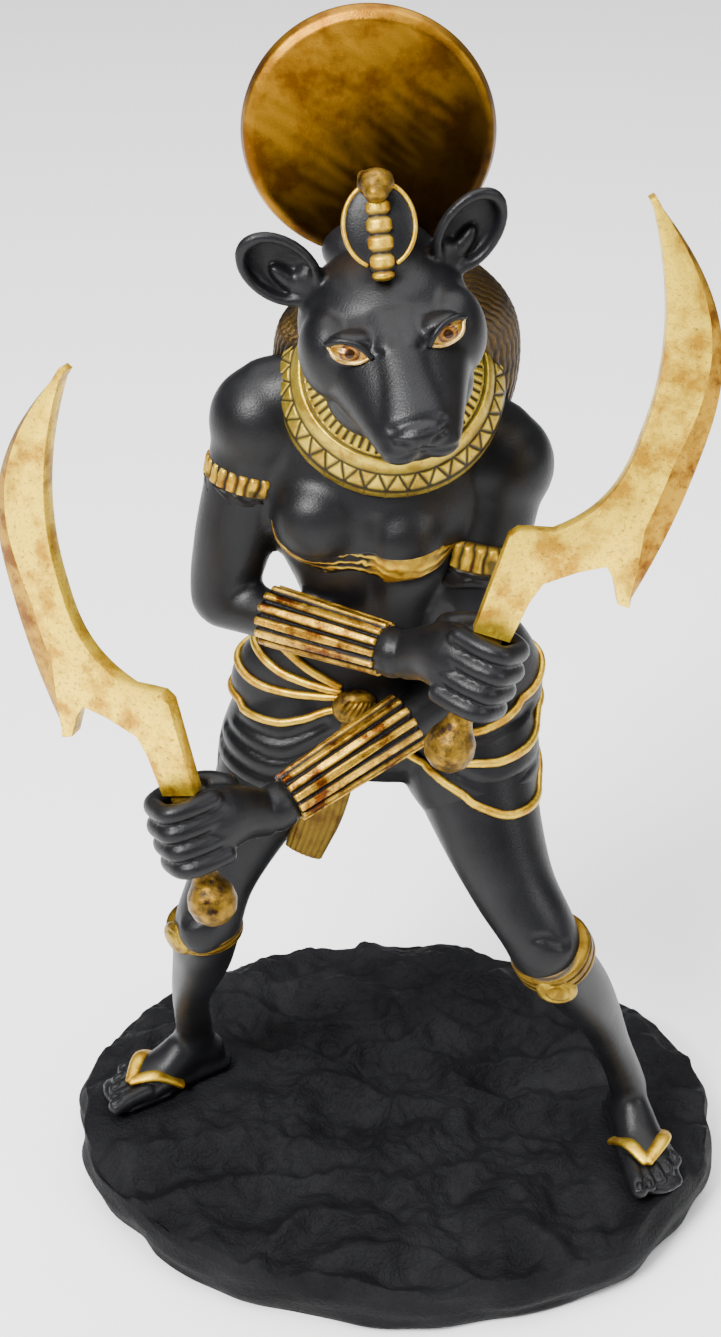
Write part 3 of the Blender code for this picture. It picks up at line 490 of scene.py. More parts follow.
# the sun disc's paint: its marked darkness is painted light and shade, brighter at the upper left and at the rim
discGold = goldPaint("brushed disc bronze with painted light", (0.42, 0.20, 0.012), (0.20, 0.075, 0.004), (0.007, 0.0028, 0.0009), speckle=0.06,
                     speckleSize=1.1, streakSize=0.16, marked=True, metal=1.0, dulled=0.0)
plateGold = goldPaint("garter plate gold", (0.32, 0.21, 0.022), (0.15, 0.085, 0.008), (0.02, 0.012, 0.004), speckle=0.14)
sashGold = goldPaint("dull sash gold", (0.16, 0.095, 0.009), (0.09, 0.045, 0.004), (0.012, 0.007, 0.003), speckle=0.12,
                     marked=True)
collarGold = goldPaint("yellow collar gold", (0.55, 0.40, 0.045), (0.33, 0.21, 0.020), (0.004, 0.003, 0.003), speckle=0.16,
                       speckleSize=2.2, marked=True)
eyePaint, eyeNodes, eyeLinks, eyeShader = newPaint("painted eye")
rings = ramp(eyeNodes, [(0.0, (0.004, 0.002, 0.001)), (0.22, (0.004, 0.002, 0.001)), (0.28, (0.26, 0.11, 0.004)),
                        (0.40, (0.10, 0.030, 0.002)), (0.47, (0.008, 0.004, 0.002)), (0.58, (0.30, 0.16, 0.010)),
                        (1.0, (0.20, 0.095, 0.006))])
eyeSpread = math2(eyeNodes, eyeLinks, "DIVIDE", readMark(eyeNodes, "iris"), 2.6)
eyeLinks.new(eyeSpread, rings.inputs["Fac"])
creamy = blendColour(eyeNodes, eyeLinks, readMark(eyeNodes, "rim"), rings.outputs["Color"], (0.60, 0.42, 0.11))
outline = ramp(eyeNodes, [(0.80, (0, 0, 0)), (0.92, (1, 1, 1))])
eyeLinks.new(readMark(eyeNodes, "edge"), outline.inputs["Fac"])
eyeWear = placeWear(eyeNodes, speckle_size=4.0, speckle_amount=0.1, streak_size=2.0, grain_size=8.0)
stained = blendColour(eyeNodes, eyeLinks, math2(eyeNodes, eyeLinks, "MULTIPLY", eyeWear.outputs["Streaks"], 0.35),
                      creamy, (0.12, 0.035, 0.003))
eyeLinks.new(blendColour(eyeNodes, eyeLinks, outline.outputs["Color"], stained, (0.01, 0.008, 0.006)),
             eyeShader.inputs["Base Color"])
eyeShader.inputs["Metallic"].default_value = 0.5
eyeShader.inputs["Roughness"].default_value = 0.25
lidPaint = goldPaint("lid gold", (0.66, 0.46, 0.15), (0.34, 0.17, 0.03), (0.03, 0.015, 0.008), speckle=0.2, speckleSize=3.0)
wigPaint = goldPaint("wig bronze", (0.070, 0.040, 0.009), (0.012, 0.008, 0.005), (0.005, 0.004, 0.004), speckle=0.30, marked=True,
                     speckleSize=0.7, streakSize=0.16)
print("paints mixed")


# ---- body

bodyShape = {
    "firstVoxel": 0.8, "firstRounds": 6, "voxel": 0.64, "rounds": 2,
    "upperArm": [(0.0, 7.0, 6.8, 0.0), (0.3, 6.5, 6.2, 0.2), (0.6, 6.2, 6.0, 0.2), (0.85, 5.5, 5.3, 0.0), (1.0, 4.7, 4.6, 0.0)],
    "forearm": [(0.0, 4.3, 4.3, 0.0), (0.2, 3.9, 4.0, 0.0), (0.5, 3.6, 3.6, 0.0), (0.85, 3.0, 3.2, 0.0), (1.0, 3.1, 3.4, 0.0)],
    "drop": 11,
    "torso": [((-2.5, -1.5, 82.0), 13.5, 9.5, 0), ((-2.3, -2.6, 90.0), 16.2, 10.2, 0), ((-2.8, -5.2, 98.5), 14.0, 8.8, 1),
              ((-3.9, -8.4, 106.0), 11.2, 7.4, 4), ((-4.4, -10.6, 112.0), 11.4, 7.8, 7),
              ((-4.4, -12.2, 119.0), 14.2, 8.8, 11), ((-4.2, -12.8, 127.0), 16.2, 9.2, 11),
              ((-4.0, -12.6, 134.0), 16.0, 8.2, 11), ((-3.8, -13.0, 140.0), 13.0, 7.4, 11),
              ((-3.4, -15.4, 146.0), 9.4, 7.0, 6), ((-2.8, -18.6, 152.0), 8.2, 7.4, 0), ((-2.2, -21.0, 157.0), 8.0, 7.4, -6)],
    "breast": onSide((-12.4, -17.6, 126.2), (0.0, -18.0, 123.4)),
    "seat": onSide((-10.5, 4.0, 84.5), (5.4, 4.0, 84.0)),
}


def makeTorso():
    rows = [(centre, wide, deep, (math.cos(math.radians(tilt)), 0, -math.sin(math.radians(tilt))))
            for centre, wide, deep, tilt in bodyShape["torso"]]
    parts = [grow(rows, around=32)]
    for side in sides:
        parts.append(ball(bodyShape["breast"][side], (7.0, 5.8, 6.8)))
        parts.append(ball(bodyShape["seat"][side], (9.2, 7.8, 9.8)))
        parts.append(limb(Vector((-3.6, -12.0, 145.5)), pose["shoulder"][side] + Vector((0, 0.6, 2.8)),
                          [(0, 6.4, 6.8, 0), (0.5, 6.2, 6.8, 0), (1, 6.0, 6.4, 0)], (0, 0, 1)))
    return parts


def makeLeg(side):
    return [grow(legRows[side], around=28), ball(pose["kneecap"][side], (4.2, 3.4, 4.6))]


def makeArm(side):
    shoulder, elbow, wrist = pose["shoulder"][side], pose["elbow"][side], pose["wrist"][side]
    return [limb(shoulder, elbow, bodyShape["upperArm"], (0, -1, 0)), limb(elbow, wrist, bodyShape["forearm"], (0, 0, 1)),
            ball(elbow + Vector((0, 0.4, 0.2)), (4.3, 4.3, 4.3)), ball(shoulder, (7.9, 7.8, 8.4))]


def makeFoot(side):
    ground, ahead, big = footFrame(side)
    ankle = pose["ankle"][side]
    up = Vector((0, 0, 1.3))
    return [grow([(ground - 5.4 * ahead + up, 3.4, 1.3), (ground + 2.0 * ahead + up, 4.0, 1.3),
                  (ground + 11.0 * ahead + up, 5.6, 1.3), (ground + 16.5 * ahead + 0.4 * big + up, 5.0, 1.3)],
                 side=big, dome=1.6),
            grow([(ankle - 3.4 * ahead + Vector((0, 0, -4.7)), 2.9, 3.0), (ankle + 1.0 * ahead + Vector((0, 0, -2.9)), 3.4, 4.6),
                  (ankle + 6.6 * ahead + Vector((0, 0, -5.0)), 4.2, 3.3), (ankle + 12.0 * ahead + Vector((0, 0, -6.2)), 4.8, 2.3)],
                 side=big, dome=0.8)]


def makeToes(side):
    ground, ahead, big = footFrame(side)
    up = Vector((0, 0, 1))
    parts = [grow([(ground + 6.0 * ahead + 3.0 * up, 4.4, 2.8), (ground + 10.5 * ahead + 2.6 * up, 5.2, 2.4),
                   (ground + 13.6 * ahead + 2.2 * up, 5.1, 1.6)], side=big, dome=0.6),
             grow([(ground + 8.0 * ahead + 1.3 * up, 5.0, 1.25), (ground + 16.0 * ahead + 0.3 * big + 1.3 * up, 5.0, 1.25)],
                  side=big, dome=1.6)]
    nails = []
    for toe in range(5):
        across, length = 4.3 - 2.2 * toe, 18.3 - 0.30 * toe - 0.26 * toe * toe
        thick = 1.55 if toe == 0 else 1.12
        tip = ground + across * big + length * ahead + 2.7 * up
        root = ground + across * 0.85 * big + 11.5 * ahead + 3.1 * up
        parts.append(limb(root, tip, [(0, thick, thick, 0), (0.6, thick, 0.95 * thick, 0.2), (1, thick, 0.9 * thick, 0)],
                          (0, 0, 1), steps=3, around=16, dome=0.9))
        nails.append([tip + x * thick * big + y * ahead + 2 * up
                      for x, y in ((-0.55, 1.0), (-0.6, -0.2), (0.0, -0.9), (0.6, -0.2), (0.55, 1.0))])
    foot = melt(join(parts), 0.26, 3)
    carve(foot, nails, 0.36, 0.26)
    flattenSoles(foot)
    return foot


def flattenSoles(obj):
    # her soles are level with the rock under them
    pick(obj)
    bpy.ops.object.mode_set(mode="EDIT")
    bpy.ops.mesh.select_all(action="SELECT")
    bpy.ops.mesh.bisect(plane_co=(0, 0, 0.02), plane_no=(0, 0, 1), clear_inner=True, use_fill=True)
    bpy.ops.object.mode_set(mode="OBJECT")


body = melt(join(makeTorso() + [part for side in sides for part in makeLeg(side) + makeArm(side) + makeFoot(side)]),
            bodyShape["firstVoxel"], bodyShape["firstRounds"])
body = melt(body, bodyShape["voxel"], bodyShape["rounds"])
flattenSoles(body)
for side in sides:
    finish(makeToes(side), f"toes{side}", black)
bodyLines = [  # lines, how wide and how deep
    ([[(-4.6, -24, 128), (-4.4, -22, 120), (-4.0, -18, 112), (-3.6, -15, 103)]], 1.6, 0.35),
    ([[(-3.7, -16, 104.0), (-3.6, -15.6, 103.0)]], 1.1, 0.9),
    ([[(-12, -20, 113), (-13.6, -16, 107), (-12.6, -12, 101)], [(4.6, -20, 111), (5.2, -16, 106), (6.0, -12, 100)]], 2.0, 0.35),
    ([[(-4.6, 4, 126), (-4.4, 0, 116), (-3.6, 4, 104), (-2.6, 8, 96)]], 1.8, 0.5),
    ([[(-36.4, -20, 54.5), (-33.4, -22, 56.0), (-30.2, -20, 54.0)], [(21.6, -28, 57.0), (25, -31, 58.6), (28.8, -29, 56.6)]], 1.1, 0.35),
]
for lines, wide, deep in bodyLines:
    carve(body, lines, wide, deep)
print("body", len(body.data.polygons))


# ---- hands

handShape = {"voxel": 0.33, "rounds": 2, "grip": 1.9, "pitch": 3.1, "finger": 1.5}


def makeHand(side):
    grip, knuckles, back = fistFrame(side)
    elbow, wrist, middle = pose["elbow"][side], pose["wrist"][side], pose["fist"][side]
    out = handShape["grip"] + 0.3 + handShape["finger"]

    def at(k, b, g):
        return middle + k * knuckles + b * back + g * grip

    parts = [limb(elbow, wrist, [(0.68, 3.3, 3.3, 0), (0.85, 3.05, 3.25, 0), (1, 3.1, 3.4, 0)], (0, 0, 1)),
             limb(elbow, wrist, [(0.90, 3.6, 3.7, 0), (0.95, 3.8, 3.9, 0), (0.99, 3.5, 3.6, 0)], (0, 0, 1), dome=0.2),
             grow([(wrist, 3.6, 3.1), (wrist.lerp(at(-6.0, 1.4, 0), 0.6), 4.1, 3.2), (at(-4.6, 1.8, 0), 5.2, 3.6),
                   (at(-1.8, 2.2, 0), 5.6, 3.2)], side=grip, dome=0.5)]
    for finger in range(4):
        height = (1.5 - finger) * handShape["pitch"]
        reach = 4.9 - 0.35 * abs(finger - 1.2)
        bend = [(-3.0, out + 0.2), (1.0, out + 0.4), (reach - 0.7, out - 0.4), (reach, out - 2.6),
                (reach - 0.3, -out + 1.6), (reach - 2.4, -out + 0.1), (-0.6, -out)]
        parts.append(grow([(at(k, b, height), handShape["finger"], handShape["finger"]) for k, b in bend], side=grip,
                          steps=4, around=16, dome=0.9))
    parts.append(grow([(at(-7.0, -0.4, 3.4), 2.1, 2.2), (at(-4.6, -2.9, 4.4), 1.9, 1.9), (at(-1.4, -4.9, 4.2), 1.6, 1.6),
                       (at(2.2, -5.4, 2.8), 1.4, 1.4)], side=grip, steps=4, around=16, dome=0.9))
    parts.append(ball(at(-3.6, -2.2, 0), (3.2, 3.0, 5.2), turnTo(grip, -back)))
    return melt(join(parts), handShape["voxel"], handShape["rounds"])


for side in sides:
    finish(makeHand(side), f"hand{side}", black)
print("hands")


# ---- head

headShape = {
    "voxel": 0.31, "rounds": 22,
    "ear": {"centre": (13.1, 3.0, 9.7), "radii": (5.9, 3.8, 4.2), "rim": 1.0, "hollow": 0.62, "rise": 48, "outward": 18},
    "eye": {"inner": (4.1, -13.2, 5.7), "outer": (9.3, -10.7, 7.1), "up": 1.5, "down": 1.4, "bulge": 0.6},
    "grooves": [  # lines on her right half of the face, how wide and how deep
        ([[(0, -25.6, -1.0), (3.0, -24.8, -1.6), (4.6, -22.4, -2.2)]], 0.55, 0.24),
        ([[(0, -25.6, 0.3), (0, -25.6, -1.0)]], 0.45, 0.22),
        ([[(1.6, -25.6, 0.5), (2.5, -25.2, 1.0), (3.3, -24.3, 0.8)]], 0.6, 0.40),
        ([[(0.0, -25.2, 2.5), (2.4, -24.6, 2.5), (3.8, -23.0, 1.9)]], 0.8, 0.15),
        ([[(0.9, -12.9, 8.4), (0.8, -12.5, 10.2)]], 0.9, 0.12),
        ([[(3.5, -13.6, 7.4), (6.6, -12.8, 8.2), (9.8, -9.6, 8.3)]], 0.8, 0.28),
    ],
    "ridges": [
        ([[(2.8, -13.2, 9.4), (5.6, -12.4, 10.2), (9.6, -9.6, 10.0)]], 1.8, -0.22),
    ],
}


def makeEar(sign):
    # a cup with a thick rolled rim, open to the front, with a lobe inside
    ear = headShape["ear"]
    wide, deep, tall = ear["radii"]
    cup = ball((0, 0, 0), ear["radii"], segments=48)
    for vertex in cup.data.vertices:
        if vertex.co.y < 0:
            vertex.co.y *= -ear["hollow"]
    bpy.ops.mesh.primitive_torus_add(major_segments=64, minor_segments=16, major_radius=1, minor_radius=ear["rim"] / wide,
                                     rotation=(math.pi / 2, 0, 0))
    rim = bpy.context.object
    rim.scale = (wide, tall, 0.5 * (wide + tall))
    bpy.ops.object.transform_apply(location=True, rotation=True, scale=True)
    lobe = ball((-2.4 * sign, 1.3, -1.1), (3.2, 1.1, 1.2))
    turn = (Matrix.Rotation(math.radians(ear["outward"] * sign), 3, "Z") @ Matrix.Rotation(math.radians(-ear["rise"] * sign), 3, "Y")
            @ Matrix.Rotation(math.radians(-12), 3, "X"))
    centre = Vector((sign * ear["centre"][0], *ear["centre"][1:]))
    for part in (cup, rim, lobe):
        part.data.transform(Matrix.Translation(centre) @ turn.to_4x4())
    root = grow([(centre + Vector((-6.0 * sign, -0.6, -6.4)), 3.6, 3.4), (centre + Vector((-2.6 * sign, 1.6, -3.4)), 3.2, 2.2)],
                side=(0, 0, 1), around=16)
    return [cup, rim, lobe, root]


def eyeFrame(sign):
    eye = headShape["eye"]
    inner, outer = (Vector((sign * x, y, z)) for x, y, z in (eye["inner"], eye["outer"]))
    x = (outer - inner).normalized()
    out = Vector((0, -1, 0.12))
    out = (out - out.dot(x) * x).normalized()
    up = x.cross(out) * (1 if x.cross(out).z > 0 else -1)
    return (inner + outer) / 2, x, up, out, (outer - inner).length / 2


def makeHead():
    parts = [ball((0, 0, 0), (12.2, 11.5, 9.8)), ball((0, -5.0, -1.0), (12.2, 9.5, 9.0)), ball((0, -7.5, -5.4), (10.4, 8.8, 6.8)),
             grow([((0, -8.0, -0.5), 10.8, 8.2), ((0, -14.0, -0.9), 8.6, 6.5), ((0, -19.0, -1.2), 7.0, 4.8),
                   ((0, -22.2, -1.4), 6.0, 3.9)], around=32),
             grow([((0, -6.5, 6.0), 4.4, 2.2), ((0, -11.5, 5.0), 3.9, 2.2), ((0, -16.0, 3.4), 3.7, 2.1),
                   ((0, -21.8, 1.4), 4.3, 1.7)], around=32),
             ball((0, -24.0, 0.4), (3.9, 1.5, 1.9)),
             grow([((0, -8.0, -7.4), 7.4, 4.0), ((0, -14.5, -6.3), 5.6, 2.8), ((0, -20.8, -4.7), 4.0, 1.9)], dome=0.9)]
    for sign in (-1, 1):
        centre, x, up, out, half = eyeFrame(sign)
        parts.append(ball((sign * 2.6, -22.6, -1.9), (3.1, 2.8, 2.4)))
        parts.append(ball((sign * 8.3, -5.4, 0.6), (4.7, 6.2, 6.6)))
        parts.append(ball(centre - 2.1 * out - 0.3 * up, (3.3, 2.3, 2.0)))
        parts += makeEar(sign)
    head = melt(join(parts), headShape["voxel"], headShape["rounds"])
    for lines, wide, deep in headShape["grooves"] + headShape["ridges"]:
        carve(head, mirrored(lines), wide, deep)
    modify(head, "SMOOTH", factor=0.5, iterations=1)
    return head


def eyeHeight(x, half):
    # upper and lower edge of the almond at a place along it
    rest = max(0.0, 1 - (x / half) ** 2)
    return headShape["eye"]["up"] * rest ** 0.8, headShape["eye"]["down"] * rest ** 0.9


def makeEye(sign, headTree):
    centre, x, up, out, half = eyeFrame(sign)
    eye = headShape["eye"]

    def onFace(along, high):
        # out of the socket, with the ball's own bulge
        point = centre + along * x + high * up
        hit = headTree.ray_cast(point + 8 * out, -out)[0]
        depth = (hit - point).dot(out) if hit else 0.0
        rest = max(0.0, 1 - (along / half) ** 2)
        return point + (max(depth, -0.4) + 0.15 + eye["bulge"] * rest * (1 - (high / 2.2) ** 2)) * out

    def spot(u, v):
        along = half * (2 * u - 1)
        top, low = eyeHeight(along, half)
        high = -low + v * (top + low)
        iris = math.hypot((along + 0.1 * half) * 1.0, (high - 0.1) * 1.05)
        rest = abs(2 * v - 1)
        rim = 1.0 if v < 0.16 else 0.0
        return onFace(along, high), iris, rest, rim

    ballPart = wrap(64, 32, spot, marks=("iris", "edge", "rim"))
    lids = []
    for edge in (1, -1):
        line = []
        for i in range(25):
            along = half * 1.06 * (i / 12 - 1)
            top, low = eyeHeight(min(half, max(-half, along)), half)
            line.append(onFace(along, top if edge > 0 else -low) + 0.05 * out)
        radius = 0.42 if edge > 0 else 0.26
        lids.append(grow([(p, radius, radius) for p in line], side=up, steps=1, around=10))
    return ballPart, lids


head = makeHead()
headTree = skinOf(head)
headPlace = Matrix.Translation(pose["head"]) @ headTurn().to_4x4()
for side, sign in zip(sides, (-1, 1)):
    eyeball, (upperLid, lowerLid) = makeEye(sign, headTree)
    for part in (eyeball, upperLid, lowerLid):
        part.data.transform(headPlace)
    finish(eyeball, f"eye{side}", eyePaint)
    finish(upperLid, f"upperLid{side}", black)
    finish(lowerLid, f"lowerLid{side}", lidPaint)
head.data.transform(headPlace)
finish(head, "lionessHead", black)
print("head", len(head.data.polygons))


# ---- wig

wigShape = {
    "rows": [((-2.0, -16.0, 162.0), 8.0, 6.0), ((-1.4, -13.3, 159.6), 12.9, 8.5), ((-0.8, -9.8, 154.0), 17.2, 8.1),
             ((-1.2, -7.0, 145.0), 18.1, 6.8), ((-2.2, -4.6, 135.0), 16.4, 4.4), ((-2.2, -4.4, 127.0), 15.0, 3.0)],
    "strands": 64,
}


def wigRelief(u, share):
    # plaited strands that run down the back
    phase = abs((u * wigShape["strands"] + 0.12 * math.sin(90 * share)) % 1 - 0.5) * 2
    plait = 0.5 + 0.5 * math.cos(2 * math.pi * (32 * share + 0.5 * (int(u * wigShape["strands"]) % 2)))
    hollow = max(stroke(max(0.0, 1 - phase), 0.5), 0.2 * (1 - plait))
    return -0.25 * hollow, 0.8 * hollow


finish(wrapLimb(wigShape["rows"], wigRelief, 384, 130), "wig", wigPaint)


# ---- kilt, sash and gold cords

kiltShape = {
    "hips": [((-2.4, -2.4, 80.0), 22.2, 11.4), ((-2.2, -2.6, 86.0), 24.6, 12.4), ((-2.0, -3.4, 92.0), 25.1, 11.8),
             ((-2.2, -5.0, 98.0), 22.8, 10.4), ((-2.6, -6.4, 103.0), 18.8, 9.0)],
    "hem": onSide((0.66, -0.2), (0.60, -0.2)),  # how far down the thigh, and how far the cloth stands off
    "folds": [
        [(-25.0, -8.0, 85.6), (-19, -14, 85.8), (-12, -15, 88.6)],
        [(-26.4, -6.0, 83.2), (-19, -15, 82.6), (-10, -15.5, 86.4)],
        [(-26.8, -5.0, 80.6), (-20, -15, 79.6), (-11, -16, 83.4)],
        [(-27.2, -6.0, 77.6), (-20, -16, 76.4), (-13, -16, 79.4)],
        [(-27.6, -6.0, 74.2), (-21, -16, 73.2), (-15, -16, 75.4)],
        [(-28.0, -8.0, 71.0), (-23, -17, 70.2), (-18, -16, 72.0)],
        [(21.6, -8, 88.0), (14, -16, 87.4), (8, -17, 87.2)],
        [(23, -8, 79.6), (15, -20, 80.0), (6, -18, 82.8)],
        [(-24, 2, 86), (-14, 10, 82), (-2, 10, 86), (10, 10, 82), (20, 4, 84)],
        [(-24, 4, 80), (-14, 12, 76), (-4, 8, 82), (8, 10, 76), (20, 4, 79)],
        [(-24, 4, 92), (-14, 8, 90), (-2, 9, 92), (10, 8, 90), (20, 4, 90)],
    ],
    "cordRadius": 0.76, "axis": Vector((-2.4, -3.4, 0)),
    "cords": [
        [(-18, -8, 102.5), (-15.6, -10.6, 100.4), (-12.6, -13.3, 98), (-8.6, -15, 95.6)],
        [(-2, 7.5, 99.0), (-8, 7.5, 100.6), (-16, 4, 101), (-21, -4, 100), (-17.8, -11.4, 97.2), (-13, -13.6, 95.6), (-8.6, -15, 94.6)],
        [(-2, 7.8, 98.0), (-8, 8, 97.6), (-18, 5, 97.4), (-24, -2, 96), (-21.4, -9.2, 93.8), (-15.8, -12.5, 93.3), (-8.6, -15.5, 93.6)],
        [(-2, 9, 91.5), (-8, 9, 91), (-17, 8, 90.4), (-26, -1, 89.4), (-24.6, -7.5, 89), (-17.4, -13.5, 89.2), (-8.6, -15.5, 91.8)],
        [(4, -15.5, 90.2), (9, -15, 88.6), (14.5, -12.8, 89.5), (19.1, -8.3, 91.4), (20.5, -4, 94.5), (16, 4, 97), (4, 7, 98), (-2, 7.5, 98.5)],
        [(2, -15.5, 87.4), (7, -18, 84.8), (11.3, -17.4, 84.1), (15.6, -16.8, 84.2), (20.6, -12.4, 84.6), (22.8, -6, 85.6),
         (20, 4, 89), (10, 10, 91), (-2, 9, 91.6)],
        [(-4, -15.5, 86.4), (1.2, -16, 82.2), (6.3, -18.2, 79.2), (12.6, -19.2, 76.6), (17.4, -18.9, 76.0), (22.7, -12.4, 75.4),
         (24, -4, 77), (18, 6, 80), (10, 10, 85), (-2, 9, 91.2)],
    ],
}


def makeKilt():
    parts = [grow(kiltShape["hips"], around=48)]
    for side in sides:
        down, off = kiltShape["hem"][side]
        rows = [(Vector(centre), wide, deep) for centre, wide, deep in legRows[side][:4]]
        top = (rows[0][0], rows[0][1] + 1.0, rows[0][2] + 1.0)
        middle = (rows[1][0], rows[1][1] + 0.9, rows[1][2] + 0.9)
        low = (rows[1][0].lerp(rows[2][0], down), rows[1][1] + (rows[2][1] - rows[1][1]) * down + off,
               rows[1][2] + (rows[2][2] - rows[1][2]) * down + off)
        parts.append(grow([top, middle, low], around=48, dome=0.1))
    made = melt(join(parts), 0.58, 3)
    carve(made, kiltShape["folds"], 1.1, 0.5)
    return made


kilt = makeKilt()
cloth = skinOf(kilt, body)
for count, path in enumerate(kiltShape["cords"]):
    outside = []
    for p in path:
        out = (Vector(p) - kiltShape["axis"]) * Vector((1, 1, 0))
        outside.append(Vector(p) + 3 * out.normalized())
    line = layOn(cloth, outside, steps=10, lift=0.15)
    radius = kiltShape["cordRadius"]
    rows = [(p, radius * (0.75 + 0.25 * math.sin(math.pi * i / (len(line) - 1))), 0.8 * radius) for i, p in enumerate(line)]
    finish(grow(rows, side=(0, 0, 1), steps=1, around=16), f"kiltCord{count + 1}", gold)
finish(kilt, "kilt", black)

claspShape = {"centre": (-7.2, -15.6, 92.6), "radii": (3.6, 2.2, 3.0), "scores": 7}


def makeClasp():
    # a knot of cloth with slanting scores
    knot = ball(claspShape["centre"], claspShape["radii"], Matrix.Rotation(math.radians(-12), 3, "Y"), segments=96)
    cx, cy, cz = claspShape["centre"]
    scores = [[(cx - 3.2 + 1.1 * k, cy - 3, cz - 2.2), (cx - 2.4 + 1.1 * k, cy - 3, cz), (cx - 1.0 + 1.1 * k, cy - 3, cz + 2.4)]
              for k in range(claspShape["scores"])]
    carve(knot, scores, 0.35, 0.28)
    return knot


finish(makeClasp(), "clasp", darkGold)
sashShape = {
    "rows": [((-7.8, -13.8, 89.0), 2.2, 1.2), ((-9.8, -14.4, 81.0), 3.0, 1.1), ((-12.6, -14.0, 72.5), 3.7, 1.1),
             ((-15.6, -13.4, 63.9), 3.3, 1.1)],
    "pleats": 7,
}


def sashRelief(u, share):
    phase = abs((math.cos(2 * math.pi * u) * 0.5 * sashShape["pleats"] + 0.4 * math.sin(5 * share)) % 1 - 0.5) * 2
    hollow = stroke(max(0.0, 1 - phase), 0.5)
    return -0.12 * hollow, 0.25 + 0.2 * hollow


finish(wrapLimb(sashShape["rows"], sashRelief, 160, 90, side=(1, -0.2, 0.2), dome=0.3), "sashEnd", sashGold)


# ---- band under the bust

bandeauShape = {
    "line": [(-19.8, -12, 124.5), (-18.2, -17, 121.6), (-15.4, -21, 119.6), (-11.8, -24, 118.8), (-8.0, -24, 119.4),
             (-5.2, -23, 119.4), (-2.4, -24, 118.2), (1.4, -25, 118.2), (5.0, -22, 119.4), (8.2, -17, 121.2)],
    "half": [1.2, 2.0, 2.4, 2.2, 1.6, 2.2, 3.1, 3.3, 2.8, 1.4], "rise": 1.3,
    "stand": 0.36, "goldAt": 0.74, "goldHalf": 0.21,  # the stretch where the gold is unworn
}


def makeBandeau(tree):
    b = bandeauShape
    line = []
    for p in b["line"]:
        hit = tree.ray_cast(Vector((p[0], -60, p[2] + b["rise"])), Vector((0, 1, 0)))[0]
        line.append(hit if hit else Vector(p))
    rows = smoothRows([(p, h) for p, h in zip(line, b["half"])], 12)

    def spot(u, v):
        place = u * (len(rows) - 1)
        i = min(int(place), len(rows) - 2)
        t = place - i
        point, half = rows[i][0].lerp(rows[i + 1][0], t), rows[i][1] + t * (rows[i + 1][1] - rows[i][1])
        ends = min(1.0, 12 * u, 12 * (1 - u))
        outer = v < 0.75
        across = 2 * v / 0.75 - 1 if outer else 1 - 2 * (v - 0.75) / 0.25
        surface, normal = tree.find_nearest(point + Vector((0, -0.5, half * across * max(ends, 0.02))))[:2]
        fold = 0.5 + 0.5 * math.sin(9 * across + 14 * u + 2 * noise.noise(Vector((30 * u, 2 * across, 0))))
        lift = b["stand"] * (1 - across ** 4) * ends * (0.55 + 0.45 * fold) if outer else -0.5
        bare = min(1.0, abs(u - b["goldAt"]) / b["goldHalf"]) ** 2
        dark = 0.25 * (1 - fold) + bare * (1 - 0.9 * fold ** 3) + 0.8 * abs(across) ** 5
        return surface + lift * normal, min(1.0, dark) if outer else 1.0

    return wrap(300, 40, spot, closedAlong=True, marks=("groove",))


finish(makeBandeau(skinOf(body)), "bandeau", markedGold)
finish(body, "body", black)
print("kilt, cords and bandeau")


# ---- broad collar

collarShape = {
    "centre": Vector((-1.6, -15.8, 148.3)), "inner": 8.6, "ring": 13.9, "outer": 16.6, "pitch": 49, "drop": 3.9,
    "teeth": 33, "strokes": 62,
}


def collarPoint(angle, radius, lift):
    c = collarShape
    share = (radius - c["inner"]) / (c["outer"] - c["inner"])
    radius *= 1 - 0.12 * max(0.0, -math.cos(angle)) ** 2  # drawn in under the wig
    fall = 6.5 * share * share + 0.8 * share
    turn = Matrix.Rotation(math.radians(c["drop"]), 3, "Y") @ Matrix.Rotation(math.radians(c["pitch"]), 3, "X")
    return c["centre"] + turn @ Vector((radius * math.sin(angle), -radius * math.cos(angle), 3.0 - fall + lift))


def collarSpot(u, v):
    c = collarShape
    angle = 2 * math.pi * u
    profile = [(0.0, c["inner"], -2.4), (0.06, c["inner"], 0.4), (0.10, c["inner"] + 0.3, 0.8), (0.52, c["ring"] - 0.75, 1.0),
               (0.56, c["ring"] - 0.35, 1.5), (0.60, c["ring"] + 0.25, 1.5), (0.64, c["ring"] + 0.65, 1.0),
               (0.90, c["outer"] - 0.3, 1.0), (0.93, c["outer"], 0.6), (1.0, c["outer"], -1.8)]
    for (v0, r0, l0), (v1, r1, l1) in zip(profile, profile[1:]):
        if v <= v1 + 1e-9:
            t = (v - v0) / (v1 - v0)
            radius, lift = r0 + t * (r1 - r0), l0 + t * (l1 - l0)
            break
    cut = 0.0
    if c["inner"] + 1.0 < radius < c["ring"] - 1.2:
        phase = (u * c["strokes"]) % 1 - 0.5
        cut = stroke(abs(phase) * 2 * math.pi * radius / c["strokes"], 0.36)
    if radius > c["ring"] + 0.7:
        phase = abs((u * c["teeth"]) % 1 - 0.5) * 2
        across = (radius - c["ring"] - 0.7) / (c["outer"] - c["ring"] - 0.9)
        cut = max(cut, stroke(abs(phase - across) * 1.25, 0.34))
    seam = max(stroke(abs(radius - c["ring"] + 0.9), 0.25), stroke(abs(radius - c["ring"] - 0.85), 0.25), stroke(max(0, 0.9 - lift), 0.9) if v > 0.9 else 0)
    groove = min(1.0, max(cut, seam))
    return collarPoint(angle, radius, lift - 0.45 * groove), groove


finish(wrap(860, 56, collarSpot, closedAcross=True, marks=("groove",)), "broadCollar", collarGold)
print("collar")


# ---- cuffs and armlets

cuffShape = {"start": onSide(0.29, 0.27), "end": onSide(0.90, 0.88), "flutes": 13, "cut": 0.58, "startRadius": 4.8, "endRadius": 4.1}


